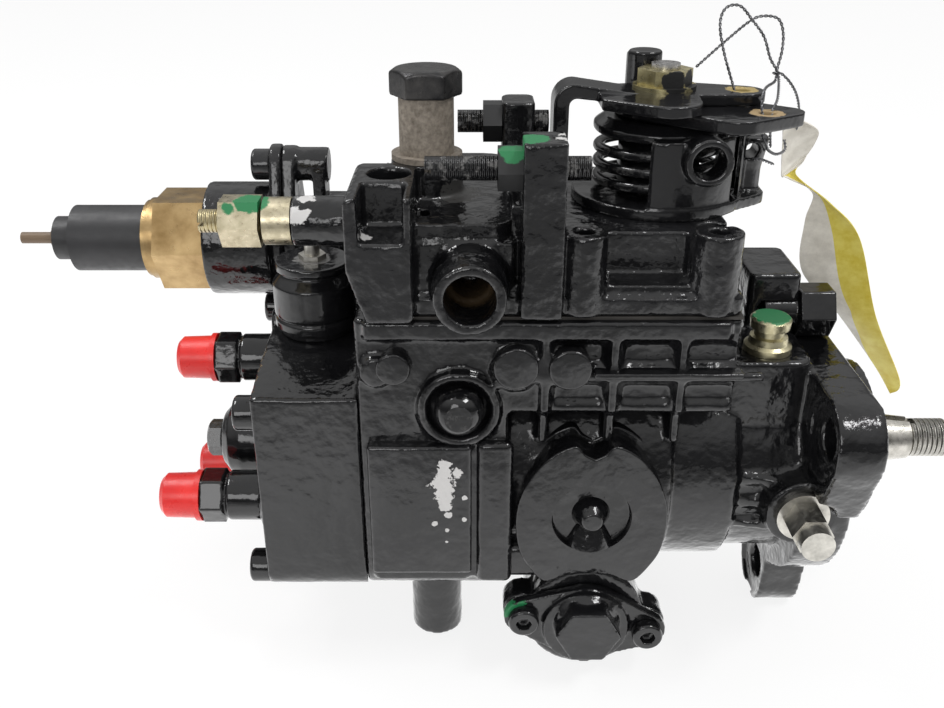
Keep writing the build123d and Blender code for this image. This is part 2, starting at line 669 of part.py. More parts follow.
cover_centre_x = (cover_rear_x + deck_front_x) / 2
cover_length = deck_front_x - cover_rear_x
overflow_top = overflow_boss_top
with BuildPart() as governor_cover:
    rounded_block(upward(cover_floor, cover_centre_x, 0), cover_length, 2 * half_width, 3.0,
                  cover_flange_height)
    rounded_block(upward(cover_floor, cover_centre_x, 0), cover_length - 4.0, 2 * half_width - 4.0,
                  6.0, roof_height - cover_floor)
    rounded_block(upward(cover_floor, -114.5, 0), 36.0, 2 * half_width - 6.0, 6.0,
                  rear_roof_height - cover_floor)

    # Bosses on the near edge, return-spring seat, overflow and port bosses
    for boss_x in (-78.5, -44.5):
        rod(upward(cover_floor, boss_x, -33.6), boss_radius, 80.0 - cover_floor)
    rod(upward(roof_height - 1.0, throttle_x, throttle_y), 9.0, 4.0)
    rod(upward(roof_height - 6.0, overflow_x, overflow_y), overflow_boss_radius,
        overflow_top - roof_height + 6.0)
    rod(facing_near(-30.0, port_x, port_z), port_radius, 20.0)
    with BuildSketch(facing_near(-34.0, port_x, port_z)) as port_teardrop:
        Circle(port_radius + 0.6)
        with Locations((0, cover_floor - port_z + 1.6)):
            Circle(1.5)
        make_hull()
        with Locations((0, cover_floor - port_z - 2.0)):
            Rectangle(30.0, 4.0, mode=Mode.SUBTRACT)
    extrude(port_teardrop.sketch, amount=9.0)

    # Lug block with the full-load screw boss, and the two stop screw lugs
    with BuildSketch(facing_near(-10.0)) as lug_outline:
        with BuildLine():
            Polyline((-133.5, cover_floor), (-138.0, 72.0), (-138.0, 91.0), (-121.5, 91.0),
                     (-121.5, cover_floor), close=True)
        make_face()
        fillet(lug_outline.vertices().sort_by(Axis.Z)[-2:], 2.0)
    extrude(lug_outline.sketch, amount=33.0)
    rod(along_rear(-130.0, full_load_y, full_load_z), 6.5, 23.0)
    block((-94.5, -41.0, cover_floor), (-84.0, -28.0, 103.8))
    rounded_block(upward(roof_height - 2.0, -94.4, -1.0), 8.8, 12.0, 2.0, 30.7)

    # Hollow inside
    block((-129.4, -cover_hollow_half, cover_floor), (-48.0, cover_hollow_half, 73.0),
          mode=Mode.SUBTRACT)
    rod(upward(cover_floor, *cover_screw_places[0]), 6.0, 16.0)

    # Pockets on the near side and in the lug block
    block((-72.6, -50.0, 66.0), (-51.0, -27.0, 90.0), mode=Mode.SUBTRACT)
    block((-96.0, -50.0, 66.0), (-94.5, -32.0, 90.0), mode=Mode.SUBTRACT)
    block((-134.5, -50.0, 79.5), (-123.5, -28.6, 100.0), mode=Mode.SUBTRACT)

    # Bores
    rod(upward(60.0, throttle_x, throttle_y), throttle_shaft_radius + running_gap, 40.0,
        mode=Mode.SUBTRACT)
    rod(upward(60.0, overflow_x, overflow_y), 6.0, 40.0, mode=Mode.SUBTRACT)
    rod(facing_near(-25.0, port_x, port_z), 5.0, 30.0, mode=Mode.SUBTRACT)
    rod(facing_near(-36.0, port_x, port_z), port_bore_radius, 30.0, mode=Mode.SUBTRACT)
    for boss_x in (-78.5, -44.5):
        rod(upward(68.0, boss_x, -33.6), 2.6, 20.0, mode=Mode.SUBTRACT)
    rod(along_rear(-118.0, full_load_y, full_load_z), stop_screw_radius, 50.0, mode=Mode.SUBTRACT)
    rod(along_rear(-80.0, lower_stop_y, lower_stop_z), stop_screw_radius, 30.0, mode=Mode.SUBTRACT)
    rod(along_rear(-85.0, upper_stop_y, upper_stop_z), stop_screw_radius, 20.0, mode=Mode.SUBTRACT)
    for (screw_x, screw_y), seat in zip(cover_screw_places, cover_screw_seats):
        rod(upward(cover_floor, screw_x, screw_y), cap_screw_radius + 0.2, 20.0, mode=Mode.SUBTRACT)
        rod(upward(seat, screw_x, screw_y), cap_screw_head_radius + 0.6, 40.0, mode=Mode.SUBTRACT)
save(governor_cover, "governor_cover")

with BuildPart() as cover_gasket:
    with BuildSketch(upward(deck_height)) as gasket_outline:
        with Locations((cover_centre_x, 0)):
            Rectangle(cover_length, 2 * half_width)
        with Locations(((chamber_rear_x + chamber_front_x) / 2, 0)):
            Rectangle(chamber_front_x - chamber_rear_x, 2 * inner_half_width, mode=Mode.SUBTRACT)
        with Locations(*cover_screw_places[:2]):
            Circle(6.0)
        with Locations(*cover_screw_places):
            Circle(cap_screw_radius + 0.2, mode=Mode.SUBTRACT)
    extrude(gasket_outline.sketch, amount=gasket_thickness)
save(cover_gasket, "cover_gasket")

with BuildPart() as cap_screws:
    for screw_y, screw_z in head_screw_places:
        cap_screw(along_rear(head_rear_x, screw_y, screw_z), head_length + 6.5)
    for (screw_x, screw_y), seat in zip(cover_screw_places, cover_screw_seats):
        cap_screw(upward(seat, screw_x, screw_y), seat - deck_height + 11.0)
    for ear in (-1, 1):
        cap_screw(along_rear(wax_flange_x - 6.5, wax_y, wax_z + ear * 25.0), 12.0)
save(cap_screws, "cap_screws")

with BuildPart() as overflow_bolt:
    hex_screw(upward(overflow_top + 1.5 + overflow_sleeve_height, overflow_x, overflow_y), 17.0, 7.0,
              5.95, overflow_sleeve_height + 14.0)
    rod(upward(overflow_top - 12.6, overflow_x, overflow_y), 3.0, 14.0, mode=Mode.SUBTRACT)
save(overflow_bolt, "overflow_bolt")

with BuildPart() as overflow_sleeve:
    rod(upward(overflow_top, overflow_x, overflow_y), 9.6, 1.5)
    rod(upward(overflow_top + 1.5, overflow_x, overflow_y), sleeve_outer_radius,
        overflow_sleeve_height)
    rod(upward(overflow_top, overflow_x, overflow_y), 6.0, 20.0, mode=Mode.SUBTRACT)
save(overflow_sleeve, "overflow_sleeve")

# ---------------------------------------------------------------- adjusting screws

with BuildPart() as adjusting_screws:
    rod(along_rear(-86.1, upper_stop_y, upper_stop_z), stop_screw_radius, 24.6)
    rod(along_rear(-77.6, lower_stop_y, lower_stop_z), stop_screw_radius, 40.8)
    rod(along_rear(-120.0, full_load_y, full_load_z), stop_screw_radius, 57.1)
    for tip_x, screw_y, screw_z in ((-110.7, upper_stop_y, upper_stop_z),
                                    (-118.4, lower_stop_y, lower_stop_z),
                                    (-177.1, full_load_y, full_load_z)):
        block((tip_x - 0.5, screw_y - 4.0, screw_z - 0.5), (tip_x + 1.6, screw_y + 4.0, screw_z + 0.5),
              mode=Mode.SUBTRACT)
save(adjusting_screws, "adjusting_screws")

with BuildPart() as adjusting_nuts:
    for seat_x, nut_y, nut_z, flats, height in (
            (-98.8, upper_stop_y, upper_stop_z, 10.0, 5.0),
            (-94.5, lower_stop_y, lower_stop_z, 10.0, 6.0),
            (-161.1, full_load_y, full_load_z, 12.0, 10.1)):
        prism(along_rear(seat_x, nut_y, nut_z), flats, height)
        rod(along_rear(seat_x + 1.0, nut_y, nut_z), stop_screw_radius, height + 2.0,
            mode=Mode.SUBTRACT)
    rod(along_rear(-153.0, full_load_y, full_load_z), 6.2, 7.2)
    rod(along_rear(-152.0, full_load_y, full_load_z), stop_screw_radius, 10.0, mode=Mode.SUBTRACT)
save(adjusting_nuts, "adjusting_nuts")

# ---------------------------------------------------------------- cold-start unit

with BuildPart() as wax_motor_housing:
    rod(along_rear(wax_flange_x - 6.5, wax_y, wax_z), wax_housing_radius, 21.2)
    with BuildSketch(along_rear(wax_flange_x - 2.6, wax_y, wax_z)) as wax_flange:
        Circle(15.0)
        with Locations((0, 25.0), (0, -25.0)):
            Circle(6.6)
        make_hull()
    extrude(wax_flange.sketch, amount=3.9)
    rod(along_rear(wax_flange_x, wax_y, wax_z), 12.0, 40.0, mode=Mode.SUBTRACT)
    for ear in (-1, 1):
        rod(along_rear(wax_flange_x, wax_y, wax_z + ear * 25.0), 3.2, 10.0, mode=Mode.SUBTRACT)
save(wax_motor_housing, "wax_motor_housing")

with BuildPart() as cold_start_housing:
    with BuildSketch(along_rear(wax_flange_x + 1.6, wax_y + 0.6, wax_z)) as adapter_flange:
        Circle(14.0)
        with Locations((0, 25.0), (0, -25.0)):
            Circle(6.0)
        make_hull()
    extrude(adapter_flange.sketch, amount=4.2)
    rod(along_rear(-155.0, wax_y, wax_z), 13.2, 12.0)
    for ear in (-1, 1):
        rod(along_rear(wax_flange_x + 12.0, wax_y + 0.6, wax_z + ear * 25.0), 5.4, 14.0)
    block((-158.0, wax_y - 5.0, wax_z - 24.0), (-154.0, wax_y + 6.0, wax_z + 24.0))
    rounded_block(along_rear(-123.0, wax_y + 4.4, wax_z), 22.4, 26.0, 6.0, 33.0)
    block((-180.0, 20.0, 0.0), (head_joint_x, head_half_width + 0.3, 40.0), mode=Mode.SUBTRACT)
    rod(along_rear(-120.0, wax_y, wax_z), 4.06, 60.0, mode=Mode.SUBTRACT)
    for ear in (-1, 1):
        rod(along_rear(wax_flange_x + 6.1, wax_y, wax_z + ear * 25.0), 3.05, 14.0,
            mode=Mode.SUBTRACT)
save(cold_start_housing, "cold_start_housing")

with BuildPart() as wax_motor_nut:
    prism(along_rear(-192.7, wax_y, wax_z), wax_nut_flats, 16.5)
    turned(along_rear(-192.7, wax_y, wax_z), [(0, 17.2), (16.5, 17.2), (17.0, 13.6), (19.6, 12.6),
                                              (21.0, 11.6)], mode=Mode.INTERSECT)
    rod(along_rear(-209.2, wax_y, wax_z), 13.4, 3.0)
    rod(along_rear(-209.2, wax_y, wax_z), 12.6, 4.5)
    rod(along_rear(-190.0, wax_y, wax_z), 9.5, 40.0, mode=Mode.SUBTRACT)
save(wax_motor_nut, "wax_motor_nut")

with BuildPart() as wax_motor_cap:
    turned(along_rear(-205.0, wax_y, wax_z), [(0, 9.4), (9.0, 9.4), (9.0, wax_cap_radius),
                                              (33.0, wax_cap_radius), (34.0, 7.2), (39.5, 7.2)])
save(wax_motor_cap, "wax_motor_cap")

with BuildPart() as wax_motor_plunger:
    turned(along_rear(-150.0, wax_y, wax_z), [(0, 4.0), (25.0, 4.0), (25.0, 8.0), (46.0, 8.0)])
save(wax_motor_plunger, "wax_motor_plunger")

# ---------------------------------------------------------------- timing device

with BuildPart() as timing_covers:
    for cover_side in (-1, 1):
        if cover_side < 0:
            cover_plane = facing_near(-half_width, timing_x, timing_z)
            ear_tilt = -timing_screw_tilt
        else:
            cover_plane = facing_far(half_width, timing_x, timing_z)
            ear_tilt = timing_screw_tilt
        with BuildSketch(cover_plane) as cover_outline:
            Circle(13.2)
            with Locations(*[(side * timing_screw_reach * cos(radians(ear_tilt)),
                              side * timing_screw_reach * sin(radians(ear_tilt))) for side in (-1, 1)]):
                Circle(5.8)
            make_hull()
        extrude(cover_outline.sketch, amount=3.0)
        rod(cover_plane, 12.6, 5.0)
        for side in (-1, 1):
            with Locations(cover_plane):
                with Locations((side * timing_screw_reach * cos(radians(ear_tilt)),
                                side * timing_screw_reach * sin(radians(ear_tilt)))):
                    Cylinder(2.7, 20.0, mode=Mode.SUBTRACT)
    nose = facing_near(-half_width - 5.0, timing_x, timing_z + 2.6)
    turned(nose, [(0, 9.8), (1.0, 9.4), (2.0, 8.6)])
    prism(nose, 16.4, 7.0)
save(timing_covers, "timing_covers")

with BuildPart() as timing_cover_screws:
    for lug_x, lug_z in timing_lugs:
        for end_plane in (facing_near(-half_width - 3.0, lug_x, lug_z),
                          facing_far(half_width + 3.0, lug_x, lug_z)):
            turned(end_plane, [(-10.0, 2.45), (0, 2.45), (0, 4.5), (2.6, 4.5), (3.2, 4.0)])
            prism(end_plane.offset(1.0), 4.0, 4.0, mode=Mode.SUBTRACT)
save(timing_cover_screws, "timing_cover_screws")

with BuildPart() as timing_piston:
    piston_plane = facing_far(timing_piston_near, timing_x, timing_z)
    turned(piston_plane, [(0, timing_bore_radius - 0.9), (0.9, timing_bore_radius - running_gap),
                          (timing_piston_length, timing_bore_radius - running_gap)])
    rod(piston_plane.offset(30.0), 8.5, 20.0, mode=Mode.SUBTRACT)
    rod(upward(-46.0, timing_x, 0), 5.2, 40.0, mode=Mode.SUBTRACT)
save(timing_piston, "timing_piston")

with BuildPart() as timing_spring:
    spring_coil(facing_far(8.4, timing_x, timing_z), 6.4, 1.0, 28.2, 5)
save(timing_spring, "timing_spring")

# ---------------------------------------------------------------- small fittings

with BuildPart() as pressure_valve:
    turned(upward(ledge_height, valve_x, valve_y),
           [(-9.5, 5.55), (0, 5.55), (0, 6.6), (1.8, 6.6), (2.6, 5.6), (4.4, 5.2), (4.8, 4.2),
            (6.4, 4.2), (7.0, 5.4), (9.6, 5.7), (10.3, 5.0)])
save(pressure_valve, "pressure_valve")

with BuildPart() as inlet_union:
    prism(along_x(-11.3, 0, inlet_z), 14.0, 10.3)
    rod(along_rear(-11.3, 0, inlet_z), 4.95, 10.0)
    rod(along_x(-24.0, 0, inlet_z), 3.2, 30.0, mode=Mode.SUBTRACT)
save(inlet_union, "inlet_union")

with BuildPart() as shaft_lock_bolt:
    lock_plane = facing_near(lock_boss_face, lock_boss_x, lock_boss_z)
    turned(lock_plane, [(-26.4, lock_bolt_radius - 0.05), (0, lock_bolt_radius - 0.05), (0, 7.4),
                        (1.6, 7.4)])
    prism(lock_plane.offset(1.6), 10.0, 9.0)
    rod(lock_plane.offset(10.0), 4.6, 5.0)
save(shaft_lock_bolt, "shaft_lock_bolt")

with BuildPart() as pivot_bolts:
    for pivot_plane in (facing_near(near_side + 1.0, lever_pivot_x, lever_pivot_z),
                        facing_far(half_width - 1.0, lever_pivot_x, lever_pivot_z)):
        turned(pivot_plane, [(-20.6, 3.0), (-7.0, 3.0), (-7.0, 4.95), (0, 4.95), (0, 6.4), (2.8, 6.4),
                             (3.4, 5.8)])
        block_depth = 1.2
        with Locations(pivot_plane.offset(3.4 - block_depth / 2)):
            Box(14.0, 1.4, block_depth, mode=Mode.SUBTRACT)
save(pivot_bolts, "pivot_bolts")

# ---------------------------------------------------------------- throttle group

with BuildPart() as throttle_shaft:
    rod(upward(69.0, throttle_x, throttle_y), throttle_shaft_radius,
        lever_height + lever_thickness - 69.0)
    rod(upward(105.0, throttle_x, throttle_y), 3.9, 9.6)
    with BuildSketch(upward(69.0)) as crank:
        with Locations((throttle_x, throttle_y)):
            Circle(6.0)
        with Locations((throttle_x - 8.0, throttle_y)):
            Circle(2.6)
        make_hull()
    extrude(crank.sketch, amount=3.4)
    rod(upward(64.6, throttle_x - 8.0, throttle_y), 1.5, 5.0)
save(throttle_shaft, "throttle_shaft")

with BuildPart() as throttle_lever:
    with BuildSketch(upward(lever_height)) as lever_outline:
        with BuildSketch(mode=Mode.PRIVATE) as stop_arm:
            with Locations((throttle_x, throttle_y), (throttle_x - 1.5, throttle_y - 17.0)):
                Circle(8.5)
            with Locations((stop_tab_x + 6.0, 1.0)):
                Circle(6.0)
            make_hull()
        add(stop_arm.sketch)
        with BuildSketch(mode=Mode.PRIVATE) as wire_arm:
            with Locations((throttle_x, throttle_y)):
                Circle(10.0)
            with Locations((-34.0, 1.0)):
                Circle(6.2)
            make_hull()
        add(wire_arm.sketch)
        with Locations((throttle_x, throttle_y)):
            Circle(throttle_shaft_radius, mode=Mode.SUBTRACT)
        with Locations((-34.0, 1.0)):
            Circle(2.2, mode=Mode.SUBTRACT)
    extrude(lever_outline.sketch, amount=lever_thickness)
    block((stop_tab_x, -5.0, 96.8), (stop_tab_x + 3.6, 7.0, lever_height + lever_thickness))
    fillet(throttle_lever.edges().filter_by(Axis.Y).sort_by(Axis.X)[:4].sort_by(Axis.Z)[-1], 2.6)
    block((throttle_x - 9.0, throttle_y + 9.0, lever_height),
          (throttle_x - 1.6, throttle_y + 12.4, lever_height + 10.5))
save(throttle_lever, "throttle_lever")

with BuildPart() as linkage_lever:
    with BuildSketch(upward(101.2)) as linkage_outline:
        with Locations((throttle_x, throttle_y)):
            Circle(13.0)
        with Locations((-39.0, -16.0)):
            Circle(7.5)
        with Locations((-25.0, -10.0)):
            Circle(5.0)
        make_hull()
        with Locations((throttle_x, throttle_y)):
            Circle(throttle_shaft_radius, mode=Mode.SUBTRACT)
        with Locations((-30.5, -13.0)):
            Circle(2.2, mode=Mode.SUBTRACT)
        with Locations((-34.0, 4.0)):
            Circle(4.2, mode=Mode.SUBTRACT)
    extrude(linkage_outline.sketch, amount=3.6)
save(linkage_lever, "linkage_lever")

with BuildPart() as lever_nut:
    prism(upward(109.0, throttle_x, throttle_y), 13.0, 4.2)
    rod(upward(108.0, throttle_x, throttle_y), 8.6, 1.0)
    rod(upward(106.0, throttle_x, throttle_y), 3.95, 10.0, mode=Mode.SUBTRACT)
save(lever_nut, "lever_nut")

with BuildPart() as spring_collar:
    turned(upward(collar_floor, throttle_x, throttle_y),
           [(0, collar_radius - 0.8), (0.8, collar_radius), (2.4, collar_radius),
            (4.6, collar_radius - 3.0)])
    rod(upward(82.0, throttle_x, throttle_y), 11.4, collar_floor - 82.0)
    rod(upward(80.0, throttle_x, throttle_y), throttle_shaft_radius, 30.0, mode=Mode.SUBTRACT)
save(spring_collar, "spring_collar")

with BuildPart() as return_spring:
    spring_coil(upward(spring_floor + spring_wire_radius + 0.15, throttle_x, throttle_y),
                spring_mean_radius, spring_wire_radius,
                collar_floor - spring_floor - 2 * spring_wire_radius - 0.5, spring_turns)
save(return_spring, "return_spring")

with BuildPart() as spring_bracket:
    with BuildSketch(upward(bracket_floor)) as foot_outline:
        with Locations((throttle_x, throttle_y)):
            Circle(bracket_foot_radius - 1.5)
        with Locations((throttle_x + 22.5, throttle_y - 3.0)):
            Circle(7.0)
        make_hull()
        with Locations((throttle_x, throttle_y)):
            Circle(bracket_foot_radius)
            Circle(9.1, mode=Mode.SUBTRACT)
    extrude(foot_outline.sketch, amount=bracket_foot_height)

    # Curved shield in front of the spring, with its cable eye
    with BuildSketch(upward(bracket_floor)) as shield_arc:
        with Locations((throttle_x, throttle_y)):
            Circle(shield_radius + 2.0)
            Circle(shield_radius, mode=Mode.SUBTRACT)
        with Locations((throttle_x - 26.0, throttle_y), (throttle_x, throttle_y + 14.0)):
            Rectangle(40.0, 60.0, mode=Mode.SUBTRACT)
    extrude(shield_arc.sketch, amount=21.0)
    eye_plane = facing_near(throttle_y - shield_radius + 0.8, throttle_x + 8.0, bracket_floor + 16.8)
    rod(eye_plane, 6.2, 7.5)
    rod(eye_plane.offset(-3.0), 4.2, 14.0, mode=Mode.SUBTRACT)

    # Tapered spring anchor post
    turned(upward(bracket_floor, throttle_x + 24.4, throttle_y - 1.0), [(0, 4.2), (9.0, 4.2), (17.0, 5.6),
                                                                      (18.0, 5.0)])
    rod(facing_near(throttle_y + 8.0, throttle_x + 24.4, bracket_floor + 14.4), 2.2, 20.0,
        mode=Mode.SUBTRACT)
save(spring_bracket, "spring_bracket")

with BuildPart() as seal_wire:
    with BuildLine() as wire_path:
        Spline((-34.0, 1.0, 108.4), (-34.4, 1.6, 118.0), (-33.0, 10.0, 127.0), (-24.0, 15.0, 124.0),
               (-16.0, 18.0, 106.0), (-11.0, 19.6, 88.6))
    with BuildSketch(Plane(origin=wire_path.line @ 0, z_dir=wire_path.line % 0)) as wire_section:
        RegularPolygon(0.6, 6)
    sweep(wire_section.sketch, path=wire_path.line)
save(seal_wire, "seal_wire")

with BuildPart() as seal_tag:
    tag_stations = ((-9.7, 20.0, 86.6), (-5.4, 23.0, 75.1), (8.7, 27.0, 56.1), (21.9, 32.0, 33.4),
                    (33.5, 40.0, 11.2), (38.0, 43.5, -5.0))
    tag_widths = (11.0, 12.0, 14.0, 20.0, 20.0, 16.0)
    for index, station in enumerate(tag_stations):
        before = tag_stations[max(index - 1, 0)]
        after = tag_stations[min(index + 1, len(tag_stations) - 1)]
        heading = (after[0] - before[0], after[1] - before[1], after[2] - before[2])
        with BuildSketch(Plane(origin=station, x_dir=(1, 0, 0.3), z_dir=heading)):
            Rectangle(tag_widths[index], 0.6)
    loft()
save(seal_tag, "seal_tag")

# ---------------------------------------------------------------- drive shaft and feed pump

claw_x = -68.0
with BuildPart() as drive_shaft:
    turned(along_x(claw_x), [(0, 12.8), (6.0, 12.8), (6.0, shaft_radius), (-claw_x + 11.5, shaft_radius),
                             (-claw_x + 11.5, taper_large_radius),
                             (-claw_x + taper_end_x, taper_small_radius),
                             (-claw_x + taper_end_x, thread_radius - 1.0),
                             (-claw_x + thread_start_x, thread_radius - 1.0),
                             (-claw_x + thread_start_x, thread_radius),
                             (-claw_x + thread_end_x - 1.0, thread_radius),
                             (-claw_x + thread_end_x, thread_radius - 1.0)])
    block((13.0, -key_slot_width / 2, 4.6), (taper_end_x + 2.0, key_slot_width / 2, 12.0),
          mode=Mode.SUBTRACT)
    block((claw_x - 1.0, -20.0, -4.0), (claw_x + 4.0, 20.0, 4.0), mode=Mode.SUBTRACT)
save(drive_shaft, "drive_shaft")

with BuildPart() as feed_pump_rotor:
    rotor_rear_x = feed_ring_front_x - feed_ring_length + end_gap
    rotor_length = feed_ring_length - 2 * end_gap
    rod(along_x(rotor_rear_x), rotor_radius, rotor_length)
    for quarter in range(4):
        angle = radians(45 + 90 * quarter)
        with BuildSketch(along_x(rotor_rear_x)) as vane:
            with Locations(Location((0, 0, 0), (0, 0, 45 + 90 * quarter))):
                with Locations(((vane_reach + 13.0) / 2, 0)):
                    Rectangle(vane_reach - 13.0, vane_thickness)
        extrude(vane.sketch, amount=rotor_length)
    rod(along_x(rotor_rear_x), shaft_radius, rotor_length, mode=Mode.SUBTRACT)
save(feed_pump_rotor, "feed_pump_rotor")

with BuildPart() as feed_pump_ring:
    rod(along_x(feed_ring_front_x - feed_ring_length), feed_pump_radius - 0.05, feed_ring_length)
    rod(along_x(feed_ring_front_x - feed_ring_length, 0, feed_ring_offset), feed_ring_bore,
        feed_ring_length, mode=Mode.SUBTRACT)
save(feed_pump_ring, "feed_pump_ring")

with BuildPart() as feed_pump_plate:
    rod(along_x(feed_pump_rear_x), feed_pump_radius - 0.05,
        feed_ring_front_x - feed_ring_length - feed_pump_rear_x)
    rod(along_x(feed_pump_rear_x), 11.0, 10.0, mode=Mode.SUBTRACT)
save(feed_pump_plate, "feed_pump_plate")

# ---------------------------------------------------------------- governor

with BuildPart() as drive_gear:
    extrude(gear_outline(along_x(gear_rear_x), drive_gear_teeth, 90.0), amount=gear_width)
    rod(along_x(gear_rear_x), shaft_radius, gear_width, mode=Mode.SUBTRACT)
save(drive_gear, "drive_gear")

with BuildPart() as governor_hub:
    extrude(gear_outline(along_x(gear_rear_x, 0, gear_centres), governor_gear_teeth,
                         270.0 + 180.0 / governor_gear_teeth), amount=gear_width)
    rod(along_rear(gear_rear_x, 0, gear_centres), 8.0, 2.0)
    rod(along_rear(gear_rear_x - 2.0, 0, gear_centres), cage_radius, cage_length)
    for quarter in range(4):
        with BuildSketch(along_x(gear_rear_x - 2.0 - cage_length, 0, gear_centres)) as pocket:
            with Locations(Location((0, 0, 0), (0, 0, 90 * quarter))):
                with Locations((cage_radius - 2.0, 0)):
                    Rectangle(10.0, 11.0)
        extrude(pocket.sketch, amount=cage_length - 3.0, mode=Mode.SUBTRACT)
    rod(along_x(gear_rear_x - 2.0 - cage_length, 0, gear_centres), governor_shaft_radius + running_gap,
        40.0, mode=Mode.SUBTRACT)
save(governor_hub, "governor_hub")

with BuildPart() as flyweights:
    for quarter in range(4):
        with BuildSketch(along_x(gear_rear_x - 2.0 - cage_length - 1.0, 0, gear_centres)) as weight:
            with Locations(Location((0, 0, 0), (0, 0, 90 * quarter))):
                with Locations((11.2, 0)):
                    Rectangle(5.6, 10.4)
        extrude(weight.sketch, amount=cage_length - 4.0)
save(flyweights, "flyweights")

with BuildPart() as governor_shaft:
    rod(along_rear(deck_front_x - 2.5, 0, gear_centres), governor_shaft_radius, 58.0)
save(governor_shaft, "governor_shaft")

with BuildPart() as governor_sleeve:
    sleeve_front_x = gear_rear_x - 2.0 - cage_length - 1.6
    sleeve_length = sleeve_front_x - sleeve_tip_x
    turned(along_rear(sleeve_front_x, 0, gear_centres),
           [(0, 8.6), (1.6, 8.6), (1.6, sleeve_radius), (sleeve_length - 5.0, sleeve_radius),
            (sleeve_length - 1.4, 2.2), (sleeve_length - 0.3, 1.4), (sleeve_length, 0.5)])
    rod(along_rear(sleeve_front_x + 1.0, 0, gear_centres), governor_shaft_radius + running_gap, 21.0,
        mode=Mode.SUBTRACT)
save(governor_sleeve, "governor_sleeve")

with BuildPart() as governor_lever:
    block((lever_face_x - 3.8, -19.6, lever_pivot_z - 4.6),
          (lever_face_x, 19.6, lever_pivot_z + 4.6))
    block((lever_face_x - 3.8, -9.0, lever_pivot_z - 8.0), (lever_face_x, 9.0, lever_top_z))
    rod(downward(lever_pivot_z - 6.0, lever_pivot_x, 0), 2.0, lever_pivot_z - 6.0 - lever_ball_z)
    with Locations((lever_pivot_x, 0, lever_ball_z)):
        Sphere(2.9)
    for pivot_plane in (facing_near(-16.0, lever_pivot_x, lever_pivot_z),
                        facing_far(16.0, lever_pivot_x, lever_pivot_z)):
        rod(pivot_plane, 5.4, 4.0)
        rod(pivot_plane, 3.05, 6.0, mode=Mode.SUBTRACT)
save(governor_lever, "governor_lever")

with BuildPart() as governor_spring:
    spring_coil(along_rear(throttle_x - 10.2, throttle_y, governor_spring_z), governor_spring_radius,
                0.6, throttle_x - 10.2 - lever_face_x - 0.2 - 0.6, 9)
save(governor_spring, "governor_spring")

# ---------------------------------------------------------------- roller ring, cam plate, plunger

with BuildPart() as roller_ring:
    rod(along_rear(roller_ring_front_x), roller_ring_radius, roller_ring_length)
    rod(along_rear(roller_ring_front_x), roller_ring_bore, roller_ring_length, mode=Mode.SUBTRACT)
    roller_axis_x = roller_ring_front_x - roller_ring_length + roller_radius - 1.0
    for angle in (90.0, 210.0, 330.0):
        outward = Plane(origin=(roller_axis_x, 0, 0), x_dir=(1, 0, 0),
                        z_dir=(0, cos(radians(angle)), sin(radians(angle))))
        rod(outward.offset(15.0), roller_radius + 0.1, 9.4, mode=Mode.SUBTRACT)
    for angle in (90.0, 210.0, 330.0):
        outward = Plane(origin=(roller_axis_x, 0, 0), x_dir=(1, 0, 0),
                        z_dir=(0, cos(radians(angle)), sin(radians(angle))))
        rod(outward.offset(15.2), roller_radius, roller_length)
    rod(downward(-23.0, timing_x, 0), 3.2, 21.0)
save(roller_ring, "roller_ring")

with BuildPart() as cam_plate:
    rod(along_rear(cam_plate_front_x), cam_plate_radius, cam_plate_thickness)
    rod(along_rear(cam_plate_rear_x), 11.5, -95.5 * -1 + cam_plate_rear_x)
    for angle in (90.0, 210.0, 330.0):
        with BuildSketch(along_x(cam_plate_front_x)) as lobe:
            with Locations(Location((0, 0, 0), (0, 0, angle))):
                with Locations((19.6, 0)):
                    RectangleRounded(9.0, 13.0, 3.0)
        extrude(lobe.sketch, amount=cam_lift, taper=30)
    for side in (-1, 1):
        block((cam_plate_front_x - 1.0, min(side * 6.0, side * 12.4), -3.9),
              (claw_x + 3.9, max(side * 6.0, side * 12.4), 3.9))
    rod(along_rear(-90.0), 7.0, 8.0, mode=Mode.SUBTRACT)
save(cam_plate, "cam_plate")

with BuildPart() as plunger:
    rod(along_rear(-90.1), 6.9, 5.0)
    rod(along_rear(-90.1), plunger_radius, -90.1 - plunger_end_x)
save(plunger, "plunger")

with BuildPart() as control_spool:
    rod(along_x(spool_x - spool_length / 2), spool_radius, spool_length)
    with BuildSketch(along_x(spool_x - 3.3)) as spool_groove:
        Circle(spool_radius + 1.0)
        Circle(7.0, mode=Mode.SUBTRACT)
    extrude(spool_groove.sketch, amount=6.6, mode=Mode.SUBTRACT)
    rod(along_x(spool_x - spool_length / 2), plunger_radius + running_gap, spool_length,
        mode=Mode.SUBTRACT)
save(control_spool, "control_spool")

with BuildPart() as plunger_springs:
    with BuildSketch(along_rear(-96.0)) as bridge:
        SlotOverall(2 * (plunger_spring_y + 7.0), 13.0)
        Circle(5.6, mode=Mode.SUBTRACT)
    extrude(bridge.sketch, amount=3.0)
    for side in (-1, 1):
        spring_coil(along_rear(-100.2, side * plunger_spring_y, 0), 5.0, 1.1, 33.0, 4)
save(plunger_springs, "plunger_springs")
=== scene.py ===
import math

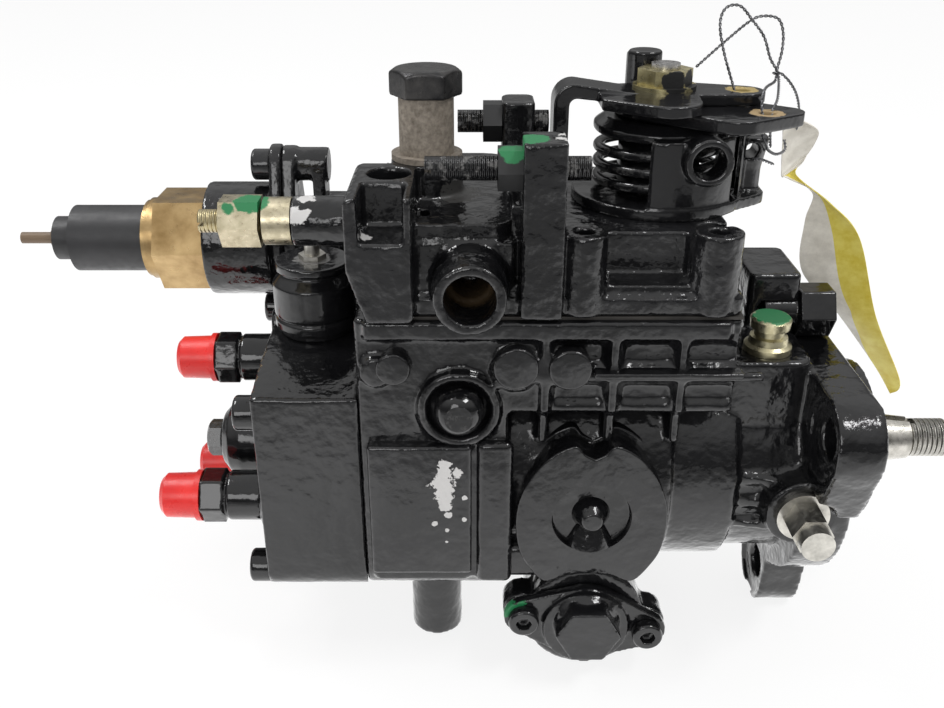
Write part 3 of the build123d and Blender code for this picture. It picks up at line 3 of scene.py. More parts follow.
import bpy
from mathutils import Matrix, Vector


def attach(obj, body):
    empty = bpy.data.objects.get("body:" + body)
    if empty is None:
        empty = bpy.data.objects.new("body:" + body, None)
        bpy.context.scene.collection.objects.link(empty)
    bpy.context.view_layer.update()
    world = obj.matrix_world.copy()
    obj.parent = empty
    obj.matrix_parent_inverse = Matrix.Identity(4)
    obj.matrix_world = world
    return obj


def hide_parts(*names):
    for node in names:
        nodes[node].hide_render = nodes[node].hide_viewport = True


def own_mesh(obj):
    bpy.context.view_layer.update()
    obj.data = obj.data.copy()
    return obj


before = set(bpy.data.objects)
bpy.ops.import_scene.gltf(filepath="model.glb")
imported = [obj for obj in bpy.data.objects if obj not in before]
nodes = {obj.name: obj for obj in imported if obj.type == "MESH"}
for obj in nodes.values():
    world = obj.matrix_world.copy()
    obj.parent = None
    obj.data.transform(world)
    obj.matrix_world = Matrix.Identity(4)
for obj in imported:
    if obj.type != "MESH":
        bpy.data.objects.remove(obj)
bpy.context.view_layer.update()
MM = 0.001
MERGE_DISTANCE = 0.00001
FINE_MERGE_DISTANCE = 0.000005
ALONG_Y = (math.radians(90.0), 0.0, 0.0)


# ---------------------------------------------------------------- working habits

def deselect_all():
    for other in bpy.context.selected_objects:
        other.select_set(False)


def choose(piece):
    deselect_all()
    piece.select_set(True)
    bpy.context.view_layer.objects.active = piece


def apply_all(piece):
    choose(piece)
    for modifier in list(piece.modifiers):
        bpy.ops.object.modifier_apply(modifier=modifier.name)


def settle(piece):
    """Puts a piece's place into its mesh."""
    choose(piece)
    bpy.ops.object.transform_apply(location=True, rotation=True, scale=True)


def start_edit(piece):
    """Opens a piece for mesh work, with all of it selected."""
    choose(piece)
    bpy.ops.object.mode_set(mode="EDIT")
    bpy.ops.mesh.select_all(action="SELECT")


def end_edit():
    bpy.ops.object.mode_set(mode="OBJECT")


def merged_copy(node_name):
    """A free copy of a CAD node's mesh, with its doubled points merged."""
    source = nodes[node_name]
    piece = source.copy()
    piece.data = source.data.copy()
    piece.parent = None
    for key in list(piece.keys()):
        del piece[key]
    bpy.context.scene.collection.objects.link(piece)
    start_edit(piece)
    bpy.ops.mesh.remove_doubles(threshold=MERGE_DISTANCE)
    end_edit()
    return piece


def name_piece(piece, name, material, body):
    piece.name = name
    piece.data.name = name
    piece.data.materials.clear()
    piece.data.materials.append(material)
    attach(piece, body)


def smooth_by_angle(piece, degrees):
    choose(piece)
    bpy.ops.object.shade_smooth_by_angle(angle=math.radians(degrees))


def smooth_all(piece):
    for face in piece.data.polygons:
        face.use_smooth = True


def close_up(piece):
    """Merges the doubled points, fills the open ends and turns the faces outwards."""
    start_edit(piece)
    bpy.ops.mesh.remove_doubles(threshold=FINE_MERGE_DISTANCE)
    bpy.ops.mesh.fill_holes(sides=0)
    bpy.ops.mesh.normals_make_consistent(inside=False)
    end_edit()


def rounded(piece, width, segments=4, angle=40.0):
    """Rounds the edges sharper than the angle, by a width in millimetres."""
    edge = piece.modifiers.new("rounding", "BEVEL")
    edge.width = width * MM
    edge.segments = segments
    edge.limit_method = "ANGLE"
    edge.angle_limit = math.radians(angle)
    apply_all(piece)


def reskin(piece, voxel, softening, triangle_limit):
    """Covers a piece with one even soft skin, then thins it to the limit."""
    skin = piece.modifiers.new("skin", "REMESH")
    skin.mode = "VOXEL"
    skin.voxel_size = voxel
    skin.use_smooth_shade = True
    soften = piece.modifiers.new("soften", "SMOOTH")
    soften.factor = 0.5
    soften.iterations = softening
    apply_all(piece)
    triangles = sum(len(face.vertices) - 2 for face in piece.data.polygons)
    if triangles > triangle_limit:
        thin = piece.modifiers.new("thin", "DECIMATE")
        thin.ratio = triangle_limit / triangles
        apply_all(piece)


def flat_disc(vertices, radius, place=(0.0, 0.0, 0.0)):
    """A filled circle across the Y axis, in metres."""
    deselect_all()
    bpy.ops.mesh.primitive_circle_add(vertices=vertices, radius=radius, fill_type="NGON",
                                      location=place, rotation=ALONG_Y)
    disc = bpy.context.object
    settle(disc)
    return disc


def draw_out(piece, depth):
    """Extrudes a flat piece along Y by a depth in millimetres, into a closed body."""
    start_edit(piece)
    bpy.ops.mesh.extrude_region_move(TRANSFORM_OT_translate={"value": (0.0, depth * MM, 0.0)})
    end_edit()
    close_up(piece)


def combine(piece, other, operation):
    """Cuts the other piece out of this one or joins it on, and then removes it."""
    change = piece.modifiers.new("combine", "BOOLEAN")
    change.operation = operation
    change.solver = "EXACT"
    change.object = other
    apply_all(piece)
    bpy.data.objects.remove(other, do_unlink=True)


def smooth_route(points, steps):
    """Points on one smooth curve through the given ones, Catmull-Rom fashion."""
    route = []
    padded = [points[0]] + list(points) + [points[-1]]
    for index in range(1, len(padded) - 2):
        before, here, there, after = (Vector(padded[index + shift]) for shift in (-1, 0, 1, 2))
        for step in range(steps):
            t = step / steps
            route.append(0.5 * (2 * here + (there - before) * t
                                + (2 * before - 5 * here + 4 * there - after) * t * t
                                + (3 * here - before - 3 * there + after) * t ** 3))
    route.append(Vector(points[-1]))
    return route


# ---------------------------------------------------------------- shared shader effects

def new_group(name, inputs, outputs):
    group = bpy.data.node_groups.new(name, "ShaderNodeTree")
    for socket_name, socket_type, value in inputs:
        socket = group.interface.new_socket(name=socket_name, in_out="INPUT", socket_type=socket_type)
        if value is not None:
            socket.default_value = value
    for socket_name, socket_type in outputs:
        group.interface.new_socket(name=socket_name, in_out="OUTPUT", socket_type=socket_type)
    ins = group.nodes.new("NodeGroupInput")
    outs = group.nodes.new("NodeGroupOutput")
    return group, ins, outs


def math_node(tree, operation, first, second=None):
    node = tree.nodes.new("ShaderNodeMath")
    node.operation = operation
    for index, value in enumerate((first, second)):
        if value is None:
            continue
        if isinstance(value, (int, float)):
            node.inputs[index].default_value = value
        else:
            tree.links.new(value, node.inputs[index])
    return node.outputs[0]


def ramp_node(tree, source, stops):
    node = tree.nodes.new("ShaderNodeValToRGB")
    node.color_ramp.elements[0].position = stops[0][0]
    node.color_ramp.elements[0].color = stops[0][1]
    node.color_ramp.elements[1].position = stops[-1][0]
    node.color_ramp.elements[1].color = stops[-1][1]
    for position, colour in stops[1:-1]:
        element = node.color_ramp.elements.new(position)
        element.color = colour
    tree.links.new(source, node.inputs[0])
    return node.outputs[0]


def mix_colour(tree, factor, first, second):
    node = tree.nodes.new("ShaderNodeMix")
    node.data_type = "RGBA"
    for socket, value in ((node.inputs[0], factor), (node.inputs[6], first), (node.inputs[7], second)):
        if isinstance(value, (int, float, tuple)):
            socket.default_value = value
        else:
            tree.links.new(value, socket)
    return node.outputs[2]


def noise_node(tree, coordinates, scale, detail=3.0, roughness=0.5):
    node = tree.nodes.new("ShaderNodeTexNoise")
    node.inputs["Detail"].default_value = detail
    node.inputs["Roughness"].default_value = roughness
    if isinstance(scale, (int, float)):
        node.inputs["Scale"].default_value = scale
    else:
        tree.links.new(scale, node.inputs["Scale"])
    tree.links.new(coordinates, node.inputs["Vector"])
    return node.outputs["Fac"]


def grey(value):
    return (value, value, value, 1.0)


def make_edge_wear():
    """A mask that is 1 on worn outer edges and in rare chips."""
    group, ins, outs = new_group(
        "edge_wear",
        [("Vector", "NodeSocketVector", None), ("Edge", "NodeSocketFloat", 0.5),
         ("Chip Scale", "NodeSocketFloat", 300.0), ("Chips", "NodeSocketFloat", 0.2)],
        [("Mask", "NodeSocketFloat")])
    geometry = group.nodes.new("ShaderNodeNewGeometry")
    sharp = ramp_node(group, geometry.outputs["Pointiness"], [(0.52, grey(0)), (0.60, grey(1))])
    breakup = noise_node(group, ins.outputs["Vector"], ins.outputs["Chip Scale"], 6.0, 0.65)
    broken = ramp_node(group, breakup, [(0.52, grey(0)), (0.62, grey(1))])
    edges = math_node(group, "MULTIPLY", math_node(group, "MULTIPLY", sharp, broken), ins.outputs["Edge"])
    spots = noise_node(group, ins.outputs["Vector"], 95.0, 5.0, 0.6)
    rare = ramp_node(group, spots, [(0.70, grey(0)), (0.715, grey(1))])
    chips = math_node(group, "MULTIPLY", rare, ins.outputs["Chips"])
    group.links.new(math_node(group, "MAXIMUM", edges, chips), outs.inputs["Mask"])
    return group


def make_cast_skin():
    """Height of a painted sand casting, slow waves with fine grit, and a drifting tone."""
    group, ins, outs = new_group(
        "cast_skin",
        [("Vector", "NodeSocketVector", None), ("Grit", "NodeSocketFloat", 0.3)],
        [("Height", "NodeSocketFloat"), ("Tone", "NodeSocketFloat")])
    waves = noise_node(group, ins.outputs["Vector"], 160.0, 2.0)
    grit = noise_node(group, ins.outputs["Vector"], 900.0, 3.0)
    fine = math_node(group, "MULTIPLY", grit, ins.outputs["Grit"])
    group.links.new(math_node(group, "ADD", waves, fine), outs.inputs["Height"])
    tone = noise_node(group, ins.outputs["Vector"], 35.0, 4.0)
    group.links.new(tone, outs.inputs["Tone"])
    return group


def make_spot_mark():
    """A mask that is 1 in a ragged patch around one place, such as a dab or a big chip."""
    group, ins, outs = new_group(
        "spot_mark",
        [("Vector", "NodeSocketVector", None), ("Centre", "NodeSocketVector", None),
         ("Radius", "NodeSocketFloat", 0.004), ("Ragged", "NodeSocketFloat", 1.0),
         ("Grain", "NodeSocketFloat", 300.0)],
        [("Mask", "NodeSocketFloat")])
    apart = group.nodes.new("ShaderNodeVectorMath")
    apart.operation = "DISTANCE"
    group.links.new(ins.outputs["Vector"], apart.inputs[0])
    group.links.new(ins.outputs["Centre"], apart.inputs[1])
    reach = math_node(group, "DIVIDE", apart.outputs["Value"], ins.outputs["Radius"])
    breakup = noise_node(group, ins.outputs["Vector"], ins.outputs["Grain"], 5.0, 0.6)
    uneven = math_node(group, "MULTIPLY", math_node(group, "SUBTRACT", breakup, 0.5), ins.outputs["Ragged"])
    total = math_node(group, "MULTIPLY", math_node(group, "ADD", reach, uneven), 0.5)
    group.links.new(ramp_node(group, total, [(0.47, grey(1)), (0.52, grey(0))]), outs.inputs["Mask"])
    return group


edge_wear = make_edge_wear()
cast_skin = make_cast_skin()
spot_mark = make_spot_mark()
WEAR_GRAIN = 420.0


# ---------------------------------------------------------------- materials

def new_material(name):
    material = bpy.data.materials.new(name)
    material.use_nodes = True
    tree = material.node_tree
    shader = tree.nodes["Principled BSDF"]
    coordinates = tree.nodes.new("ShaderNodeTexCoord").outputs["Object"]
    return material, tree, shader, coordinates


def finish_parts(material):
    """The tree, the shader and the object coordinates of a finish made above."""
    tree = material.node_tree
    return tree, tree.nodes["Principled BSDF"], tree.nodes["Texture Coordinate"].outputs["Object"]


def add_bump(tree, shader, height, distance):
    """Lays one more height over the bumps that are already there."""
    bump = tree.nodes.new("ShaderNodeBump")
    bump.inputs["Distance"].default_value = distance
    bump.inputs["Strength"].default_value = 1.0
    tree.links.new(height, bump.inputs["Height"])
    if shader.inputs["Normal"].links:
        tree.links.new(shader.inputs["Normal"].links[0].from_socket, bump.inputs["Normal"])
    tree.links.new(bump.outputs["Normal"], shader.inputs["Normal"])


def lay_over(tree, shader, mask, colour, rough, metallic=0.0):
    """Puts a second finish over the first where the mask is 1."""
    for socket_name, value in (("Base Color", colour), ("Roughness", grey(rough)),
                               ("Metallic", grey(metallic))):
        socket = shader.inputs[socket_name]
        if socket.links:
            below = socket.links[0].from_socket
        elif socket_name == "Base Color":
            below = tuple(socket.default_value)
        else:
            below = grey(socket.default_value)
        tree.links.new(mix_colour(tree, mask, below, value), socket)


def add_mark(tree, shader, coordinates, centre, radius, colour, ragged):
    """A dab of colour or a chip at one place, given in millimetres."""
    mark = tree.nodes.new("ShaderNodeGroup")
    mark.node_tree = spot_mark
    mark.inputs["Centre"].default_value = [value * MM for value in centre]
    mark.inputs["Radius"].default_value = radius * MM
    mark.inputs["Ragged"].default_value = ragged
    mark.inputs["Grain"].default_value = WEAR_GRAIN
    tree.links.new(coordinates, mark.inputs["Vector"])
    lay_over(tree, shader, mark.outputs["Mask"], colour, 0.5)


def add_thread(tree, shader, coordinates, pitch, depth, start_x=None):
    """Screw thread along X as a height, from start_x on, in millimetres."""
    split = tree.nodes.new("ShaderNodeSeparateXYZ")
    tree.links.new(coordinates, split.inputs[0])
    turns = math_node(tree, "MULTIPLY", split.outputs["X"], 2.0 * math.pi / (pitch * MM))
    ridge = math_node(tree, "SINE", turns)
    if start_x is not None:
        cut_part = math_node(tree, "GREATER_THAN", split.outputs["X"], start_x * MM)
        ridge = math_node(tree, "MULTIPLY", ridge, cut_part)
    add_bump(tree, shader, ridge, depth * MM)


DEEP_BLACK = (0.004, 0.004, 0.0045, 1.0)
SOFT_BLACK = (0.010, 0.010, 0.011, 1.0)
BARE_UNDER_PAINT = (0.20, 0.195, 0.19, 1.0)


def gloss_black_paint(name, edge=0.2, chips=0.05, grit=0.12, wave=0.0007):
    """Thick gloss black paint over a casting, with grey metal where it has chipped."""
    material, tree, shader, coordinates = new_material(name)
    skin = tree.nodes.new("ShaderNodeGroup")
    skin.node_tree = cast_skin
    skin.inputs["Grit"].default_value = grit
    tree.links.new(coordinates, skin.inputs["Vector"])
    wear = tree.nodes.new("ShaderNodeGroup")
    wear.node_tree = edge_wear
    wear.inputs["Edge"].default_value = edge
    wear.inputs["Chips"].default_value = chips
    wear.inputs["Chip Scale"].default_value = WEAR_GRAIN
    tree.links.new(coordinates, wear.inputs["Vector"])
    paint = ramp_node(tree, skin.outputs["Tone"], [(0.35, DEEP_BLACK), (0.7, SOFT_BLACK)])
    tree.links.new(mix_colour(tree, wear.outputs["Mask"], paint, BARE_UNDER_PAINT),
                   shader.inputs["Base Color"])
    gloss = ramp_node(tree, skin.outputs["Tone"], [(0.3, grey(0.06)), (0.75, grey(0.17))])
    rough = mix_colour(tree, wear.outputs["Mask"], gloss, grey(0.55))
    tree.links.new(rough, shader.inputs["Roughness"])
    add_bump(tree, shader, skin.outputs["Height"], wave)
    return material


def two_tone(tree, shader, tone, dark, light, fine, rough, bump):
    """Colour between two tones, and gloss and a fine height from a second noise."""
    colour = ramp_node(tree, tone, [(0.3, (*dark, 1)), (0.7, (*light, 1))])
    tree.links.new(colour, shader.inputs["Base Color"])
    gloss = ramp_node(tree, fine, [(0.3, grey(rough[0])), (0.7, grey(rough[1]))])
    tree.links.new(gloss, shader.inputs["Roughness"])
    add_bump(tree, shader, fine, bump)


def worked_metal(name, dark, light, metallic=1.0, rough=(0.28, 0.5), scale=260.0):
    """Plated or bare metal with uneven tone and small scratches."""
    material, tree, shader, coordinates = new_material(name)
    shader.inputs["Metallic"].default_value = metallic
    tone = noise_node(tree, coordinates, scale, 5.0, 0.6)
    fine = noise_node(tree, coordinates, scale * 3.0, 3.0)
    two_tone(tree, shader, tone, dark, light, fine, rough, 0.00004)
    return material


def moulded(name, dark, light, rough=(0.45, 0.6)):
    """Moulded plastic or rubber with a fine skin."""
    material, tree, shader, coordinates = new_material(name)
    tone = noise_node(tree, coordinates, 80.0, 4.0)
    fine = noise_node(tree, coordinates, 400.0, 3.0)
    two_tone(tree, shader, tone, dark, light, fine, rough, 0.00003)
    return material


GREEN = (0.010, 0.17, 0.055, 1.0)
PALE_METAL = (0.55, 0.54, 0.53, 1.0)
THIN_BLACK = (0.006, 0.006, 0.0065, 1.0)
NUT_BLACK = (0.006, 0.006, 0.006, 1.0)
WORN_ROOF = (0.035, 0.034, 0.032, 1.0)
RUST = (0.055, 0.036, 0.018, 1.0)
CASE_GREY = (0.16, 0.155, 0.15, 1.0)
STUD_BROWN = (0.15, 0.10, 0.06, 1.0)
WORN_GOLD = (0.36, 0.27, 0.10, 1.0)
WORN_COPPER = (0.34, 0.24, 0.12, 1.0)
REAR_PLATING = (0.50, 0.43, 0.26, 1.0)
PLATING_START_X = -0.151


def with_marks(material, marks):
    """Adds dabs and chips: each mark is a place, a radius, a colour and a raggedness."""
    tree, shader, coordinates = finish_parts(material)
    for centre, radius, colour, ragged in marks:
        add_mark(tree, shader, coordinates, centre, radius, colour, ragged)
    return material


def marked_paint(name, marks, **settings):
    return with_marks(gloss_black_paint(name, **settings), marks)


def marked_metal(name, marks, *tones, **settings):
    return with_marks(worked_metal(name, *tones, **settings), marks)


def threaded(material, pitch, depth, start_x=None):
    tree, shader, coordinates = finish_parts(material)
    add_thread(tree, shader, coordinates, pitch, depth, start_x)
    return material


def stop_screw_finish():
    """Black painted screws, but plated where the full-load screw stands out at the rear."""
    material = gloss_black_paint("stop_screw_paint", edge=0.6, chips=0.2, grit=0.1, wave=0.0002)
    tree, shader, coordinates = finish_parts(material)
    split = tree.nodes.new("ShaderNodeSeparateXYZ")
    tree.links.new(coordinates, split.inputs[0])
    rear = math_node(tree, "LESS_THAN", split.outputs["X"], PLATING_START_X)
    lay_over(tree, shader, rear, REAR_PLATING, 0.35, 0.9)
    return threaded(material, 1.0, 0.16)


# Chips in the nameplate pad, each at x and z with a radius and a raggedness
PAD_FACE_Y = -41.6
pad_chips = [
    (-114.3, 16.0, 1.7, 2.6), (-114.0, 13.2, 2.3, 2.8), (-114.8, 10.4, 3.1, 3.2), (-114.4, 7.4, 2.5, 2.6),
    (-114.2, 4.6, 2.0, 2.4), (-113.9, 2.0, 1.6, 2.4), (-113.6, -0.4, 1.1, 2.2), (-110.8, 13.4, 1.9, 2.8),
    (-117.2, -3.4, 0.8, 2.2), (-113.8, -5.6, 0.7, 2.4), (-113.9, -9.6, 0.5, 2.0), (-108.9, 5.2, 0.8, 2.4),
    (-109.0, -2.0, 0.7, 2.4),
]
housing_paint = marked_paint(
    "housing_paint",
    [((x, PAD_FACE_Y, z), radius, PALE_METAL, ragged) for x, z, radius, ragged in pad_chips]
    + [((-95.2, -44.0, -32.1), 4.0, GREEN, 0.8)])
cover_paint = marked_paint(
    "cover_paint",
    [((-133.5, -37.5, 78.0), 2.7, PALE_METAL, 1.9), ((-130.0, -38.0, 61.5), 3.4, PALE_METAL, 2.2),
     ((-151.0, -31.0, 83.2), 2.8, PALE_METAL, 2.2), ((-149.5, -26.0, 86.5), 2.4, PALE_METAL, 2.4),
     ((-84.0, -34.0, 100.0), 4.5, PALE_METAL, 2.2), ((-110.0, -10.0, 82.0), 6.0, WORN_ROOF, 3.0),
     ((-92.5, -36.0, 103.8), 4.4, GREEN, 0.9), ((-107.3, -33.0, 67.5), 8.4, RUST, 0.5)],
    edge=0.35, wave=0.0010)
timing_cover_paint = marked_paint(
    "timing_cover_paint",
    [((-96.5, -45.0, -33.0), 6.0, GREEN, 1.6), ((-92.0, -46.0, -30.0), 2.6, PALE_METAL, 2.0)])
fitting_paint = gloss_black_paint("fitting_paint", edge=0.45, chips=0.08, grit=0.1, wave=0.0003)
lever_paint = gloss_black_paint("lever_paint", edge=0.5, chips=0.12, grit=0.15, wave=0.0003)
stop_screw_paint = stop_screw_finish()
solenoid_case = marked_paint(
    "solenoid_case_paint", [((-153.0, 0.0, 54.5), 7.5, CASE_GREY, 0.4)], grit=0.1, wave=0.0003)
zinc = marked_metal("zinc_plate", [((-252.0, 45.0, 50.5), 9.5, STUD_BROWN, 1.0)],
                    (0.36, 0.35, 0.32), (0.62, 0.60, 0.55))
lock_nut_plate = marked_metal(
    "lock_nut_plate",
    [((-97.5, -32.0, 94.5), 8.6, THIN_BLACK, 0.5), ((-101.3, -1.0, 100.0), 8.6, THIN_BLACK, 0.7),
     ((-163.0, -27.0, 88.0), 5.4, GREEN, 0.8), ((-168.5, -31.0, 85.5), 2.6, GREEN, 0.6),
     ((-96.5, -34.0, 102.0), 4.6, GREEN, 0.9)],
    (0.34, 0.30, 0.20), (0.58, 0.52, 0.38), rough=(0.22, 0.45))
valve_plate = marked_metal(
    "regulating_valve_plate", [((-23.5, -18.0, 51.0), 5.4, GREEN, 0.9)],
    (0.40, 0.36, 0.22), (0.66, 0.61, 0.42), rough=(0.25, 0.45))
old_steel = worked_metal("old_steel", (0.020, 0.020, 0.022), (0.075, 0.072, 0.070), metallic=0.7,
                         rough=(0.25, 0.45))
bare_steel = worked_metal("turned_steel", (0.42, 0.41, 0.40), (0.62, 0.61, 0.60), rough=(0.2, 0.38))
shaft_steel = threaded(
    worked_metal("drive_shaft_steel", (0.30, 0.29, 0.26), (0.55, 0.53, 0.49), rough=(0.22, 0.42)),
    pitch=1.5, depth=0.45, start_x=30.2)
dull_zinc = worked_metal("weathered_zinc", (0.15, 0.125, 0.10), (0.33, 0.29, 0.24), metallic=0.3,
                         rough=(0.5, 0.75), scale=700.0)
brass = worked_metal("dull_brass", (0.20, 0.125, 0.05), (0.45, 0.32, 0.16), rough=(0.25, 0.45), scale=90.0)
rod_brass = worked_metal("tarnished_rod", (0.16, 0.11, 0.07), (0.36, 0.28, 0.19), rough=(0.35, 0.55),
                         scale=300.0)
wire_steel = worked_metal("dark_wire", (0.07, 0.07, 0.075), (0.24, 0.24, 0.25), rough=(0.3, 0.5))
lever_plate_paint = marked_paint(
    "lever_plate_paint",
    [((-34.0, 1.0, 108.0), 4.4, WORN_GOLD, 0.7), ((-30.5, -13.0, 104.8), 4.6, WORN_COPPER, 0.7)],
    edge=0.3, chips=0.08, grit=0.15, wave=0.0003)
lever_nut_finish = marked_metal(
    "lever_nut_plate",
    [((-53.0, -3.5, 110.5), 3.6, NUT_BLACK, 1.2), ((-48.0, 1.0, 110.0), 3.4, NUT_BLACK, 1.2)],
    (0.40, 0.34, 0.16), (0.66, 0.60, 0.36), rough=(0.25, 0.45))
bronze = worked_metal("bearing_bronze", (0.40, 0.26, 0.12), (0.58, 0.40, 0.20))
black_plastic = moulded("matt_black_plastic", (0.010, 0.010, 0.011), (0.020, 0.020, 0.022), rough=(0.4, 0.55))
red_plastic = moulded("red_cap_plastic", (0.60, 0.010, 0.010), (0.80, 0.025, 0.020), rough=(0.25, 0.4))
rubber = moulded("seal_rubber", (0.008, 0.008, 0.008), (0.016, 0.016, 0.016))
gasket_fibre = moulded("gasket_fibre", (0.02, 0.018, 0.016), (0.05, 0.045, 0.04), rough=(0.6, 0.8))

finishes = {
    housing_paint: ["pump_housing", "distributor_head", "cold_start_housing", "wax_motor_housing"],
    cover_paint: ["governor_cover"],
    timing_cover_paint: ["timing_covers"],
    fitting_paint: ["cap_screws", "head_plug", "valve_holders", "timing_cover_screws",
                    "pivot_bolts", "inlet_union", "vent_bolt"],
    stop_screw_paint: ["adjusting_screws"],
    solenoid_case: ["stop_solenoid"],
    lever_paint: ["throttle_lever", "linkage_lever", "spring_collar", "return_spring", "spring_bracket",
                  "seal_tag"],
    zinc: ["shaft_lock_bolt", "terminal_studs"],
    lever_nut_finish: ["lever_nut"],
    valve_plate: ["pressure_valve"],
    lock_nut_plate: ["adjusting_nuts"],
    dull_zinc: ["overflow_sleeve"],
    old_steel: ["overflow_bolt", "flyweights"],
    shaft_steel: ["drive_shaft"],
    bare_steel: ["throttle_shaft", "seal_wire", "delivery_valve_1", "delivery_valve_2",
                 "delivery_valve_3", "delivery_springs", "solenoid_plunger",
                 "timing_piston", "timing_spring", "feed_pump_rotor", "feed_pump_ring",
                 "feed_pump_plate", "drive_gear", "governor_shaft", "governor_hub", "governor_sleeve",
                 "governor_lever", "governor_spring", "roller_ring", "cam_plate", "plunger",
                 "control_spool", "plunger_springs"],
    brass: ["wax_motor_nut"],
    rod_brass: ["wax_motor_plunger"],
    bronze: ["front_bush"],
    black_plastic: ["wax_motor_cap"],
    red_plastic: ["holder_caps"],
    rubber: ["front_seals"],
    gasket_fibre: ["cover_gasket"],
}
for finish, names in finishes.items():
    for name in names:
        node = nodes[name]
        node.data.materials.clear()
        node.data.materials.append(finish)


# ---------------------------------------------------------------- cast pieces

def casting(node_name, body, material, voxel, softening, triangle_limit):
    """The CAD piece with its edges rounded over, as sand casting or thick paint leaves them."""
    piece = merged_copy(node_name)
    reskin(piece, voxel, softening, triangle_limit)
    name_piece(piece, node_name + "_casting", material, body)
    smooth_all(piece)
    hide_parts(node_name)


# Each with its body, slot and finish, voxel size in metres, softening steps and triangle limit
coarse = 1.0
castings = [
    ("pump_housing", "pump_body", "black_casting", housing_paint, 0.00085, 4, 185000),
    ("governor_cover", "pump_body", "black_casting", cover_paint, 0.0007, 4, 150000),
    ("distributor_head", "pump_body", "black_casting", housing_paint, 0.0008, 4, 120000),
    ("cold_start_housing", "pump_body", "black_casting", housing_paint, 0.0006, 4, 60000),
    ("wax_motor_housing", "pump_body", "black_casting", housing_paint, 0.0006, 4, 60000),
    ("timing_covers", "pump_body", "black_casting", timing_cover_paint, 0.0005, 4, 60000),
    ("spring_bracket", "pump_body", "black_casting", lever_paint, 0.0005, 3, 80000),
    ("linkage_lever", "throttle", "dark_steel", lever_plate_paint, 0.00036, 3, 60000),
    ("spring_collar", "throttle", "dark_steel", lever_paint, 0.00042, 3, 60000),
    ("valve_holders", "pump_body", "dark_steel", fitting_paint, 0.0004, 2, 60000),
    ("head_plug", "pump_body", "dark_steel", fitting_paint, 0.0004, 2, 40000),
    ("stop_solenoid", "pump_body", "dark_steel", solenoid_case, 0.0004, 2, 50000),
    ("pivot_bolts", "pump_body", "dark_steel", fitting_paint, 0.0004, 2, 40000),
    ("inlet_union", "pump_body", "dark_steel", fitting_paint, 0.0004, 2, 40000),
    ("cap_screws", "pump_body", "dark_steel", fitting_paint, 0.00036, 2, 90000),
    ("timing_cover_screws", "pump_body", "dark_steel", fitting_paint, 0.00034, 2, 50000),
    ("overflow_bolt", "pump_body", "dark_steel", old_steel, 0.0004, 2, 40000),
]
for node_name, body, slot, finish, voxel, softening, triangle_limit in castings:
    casting(node_name, body, finish, voxel * coarse, softening, triangle_limit)


# ---------------------------------------------------------------- raised forms of the near wall

def raised_disc(name, x, z, radius, root, face):
    """Round pad on the near wall, drawn out of a circle and eased in towards its face."""
    disc = flat_disc(64, radius * MM, (x * MM, root * MM, z * MM))
    draw_out(disc, face - root)
    rounded(disc, 0.8)
    name_piece(disc, name, housing_paint, "pump_body")
    smooth_by_angle(disc, 50.0)


def raised_plate(name, low, high, corner, ease):
    """Flat raised plate on the near wall with round corners and an eased face."""
    deselect_all()
    centre = [(first + second) / 2.0 * MM for first, second in zip(low, high)]
    bpy.ops.mesh.primitive_cube_add(size=1.0, location=centre)
    plate = bpy.context.object
    plate.scale = [(second - first) * MM for first, second in zip(low, high)]
    settle(plate)
    start_edit(plate)
    bpy.ops.mesh.select_all(action="DESELECT")
    end_edit()
    shortest_corner_edge = 0.5 * MM
    for edge in plate.data.edges:
        first, second = (plate.data.vertices[index].co for index in edge.vertices)
        edge.select = abs(first.y - second.y) > shortest_corner_edge
    bpy.ops.object.mode_set(mode="EDIT")
    bpy.ops.mesh.bevel(offset=corner * MM, segments=6)
    end_edit()
    close_up(plate)
    rounded(plate, ease)
    name_piece(plate, name, housing_paint, "pump_body")
    smooth_by_angle(plate, 50.0)


# Each with its low and high corner, corner radius and eased edge
plates = [
    ("nameplate_pad", (-135.4, PAD_FACE_Y, -21.0), (-106.9, -37.0, 21.4), 1.2, 0.7),
    ("pad_side_strip", (-105.6, -41.2, -24.8), (-95.4, -37.0, 22.2), 2.2, 0.8),
    ("strip_root", (-100.0, -38.2, -25.2), (-84.0, -28.0, -14.0), 2.4, 0.8),
    ("long_rib", (-75.0, -42.2, 42.2), (-36.0, -37.5, 43.8), 0.6, 0.6),
]
for plate in plates:
    raised_plate(*plate)
# Each with its x and z, radius, root and face
discs = [
    ("wall_disc_middle", -95.4, 44.9, 6.0, -37.0, -41.9),
    ("wall_disc_front", -81.2, 44.6, 5.7, -37.0, -41.9),
    ("wall_disc_rear", -127.4, 44.4, 4.6, -37.0, -41.2),
]
for disc in discs:
    raised_disc(*disc)


def domed_head(name, x, z, radius, root, face):
    """Bolt head filled over with paint: a round hump with an eased rim."""
    head = flat_disc(48, radius * MM, (x * MM, root * MM, z * MM))
    start_edit(head)
    steps = 7
    rim_share = 0.45
    for step in range(1, steps + 1):
        turn = math.radians(90.0 * step / steps)
        before = math.radians(90.0 * (step - 1) / steps)
        rise = (face - root) * (math.sin(turn) - math.sin(before))
        bpy.ops.mesh.extrude_region_move(TRANSFORM_OT_translate={"value": (0.0, rise * MM, 0.0)})
        if step < steps:
            shrink = ((rim_share + 0.55 * math.cos(turn))
                      / (rim_share + 0.55 * math.cos(before)))
            bpy.ops.transform.resize(value=(shrink, 1.0, shrink), center_override=(x * MM, 0.0, z * MM))
    end_edit()
    close_up(head)
    name_piece(head, name, fitting_paint, "pump_body")
    smooth_by_angle(head, 60.0)


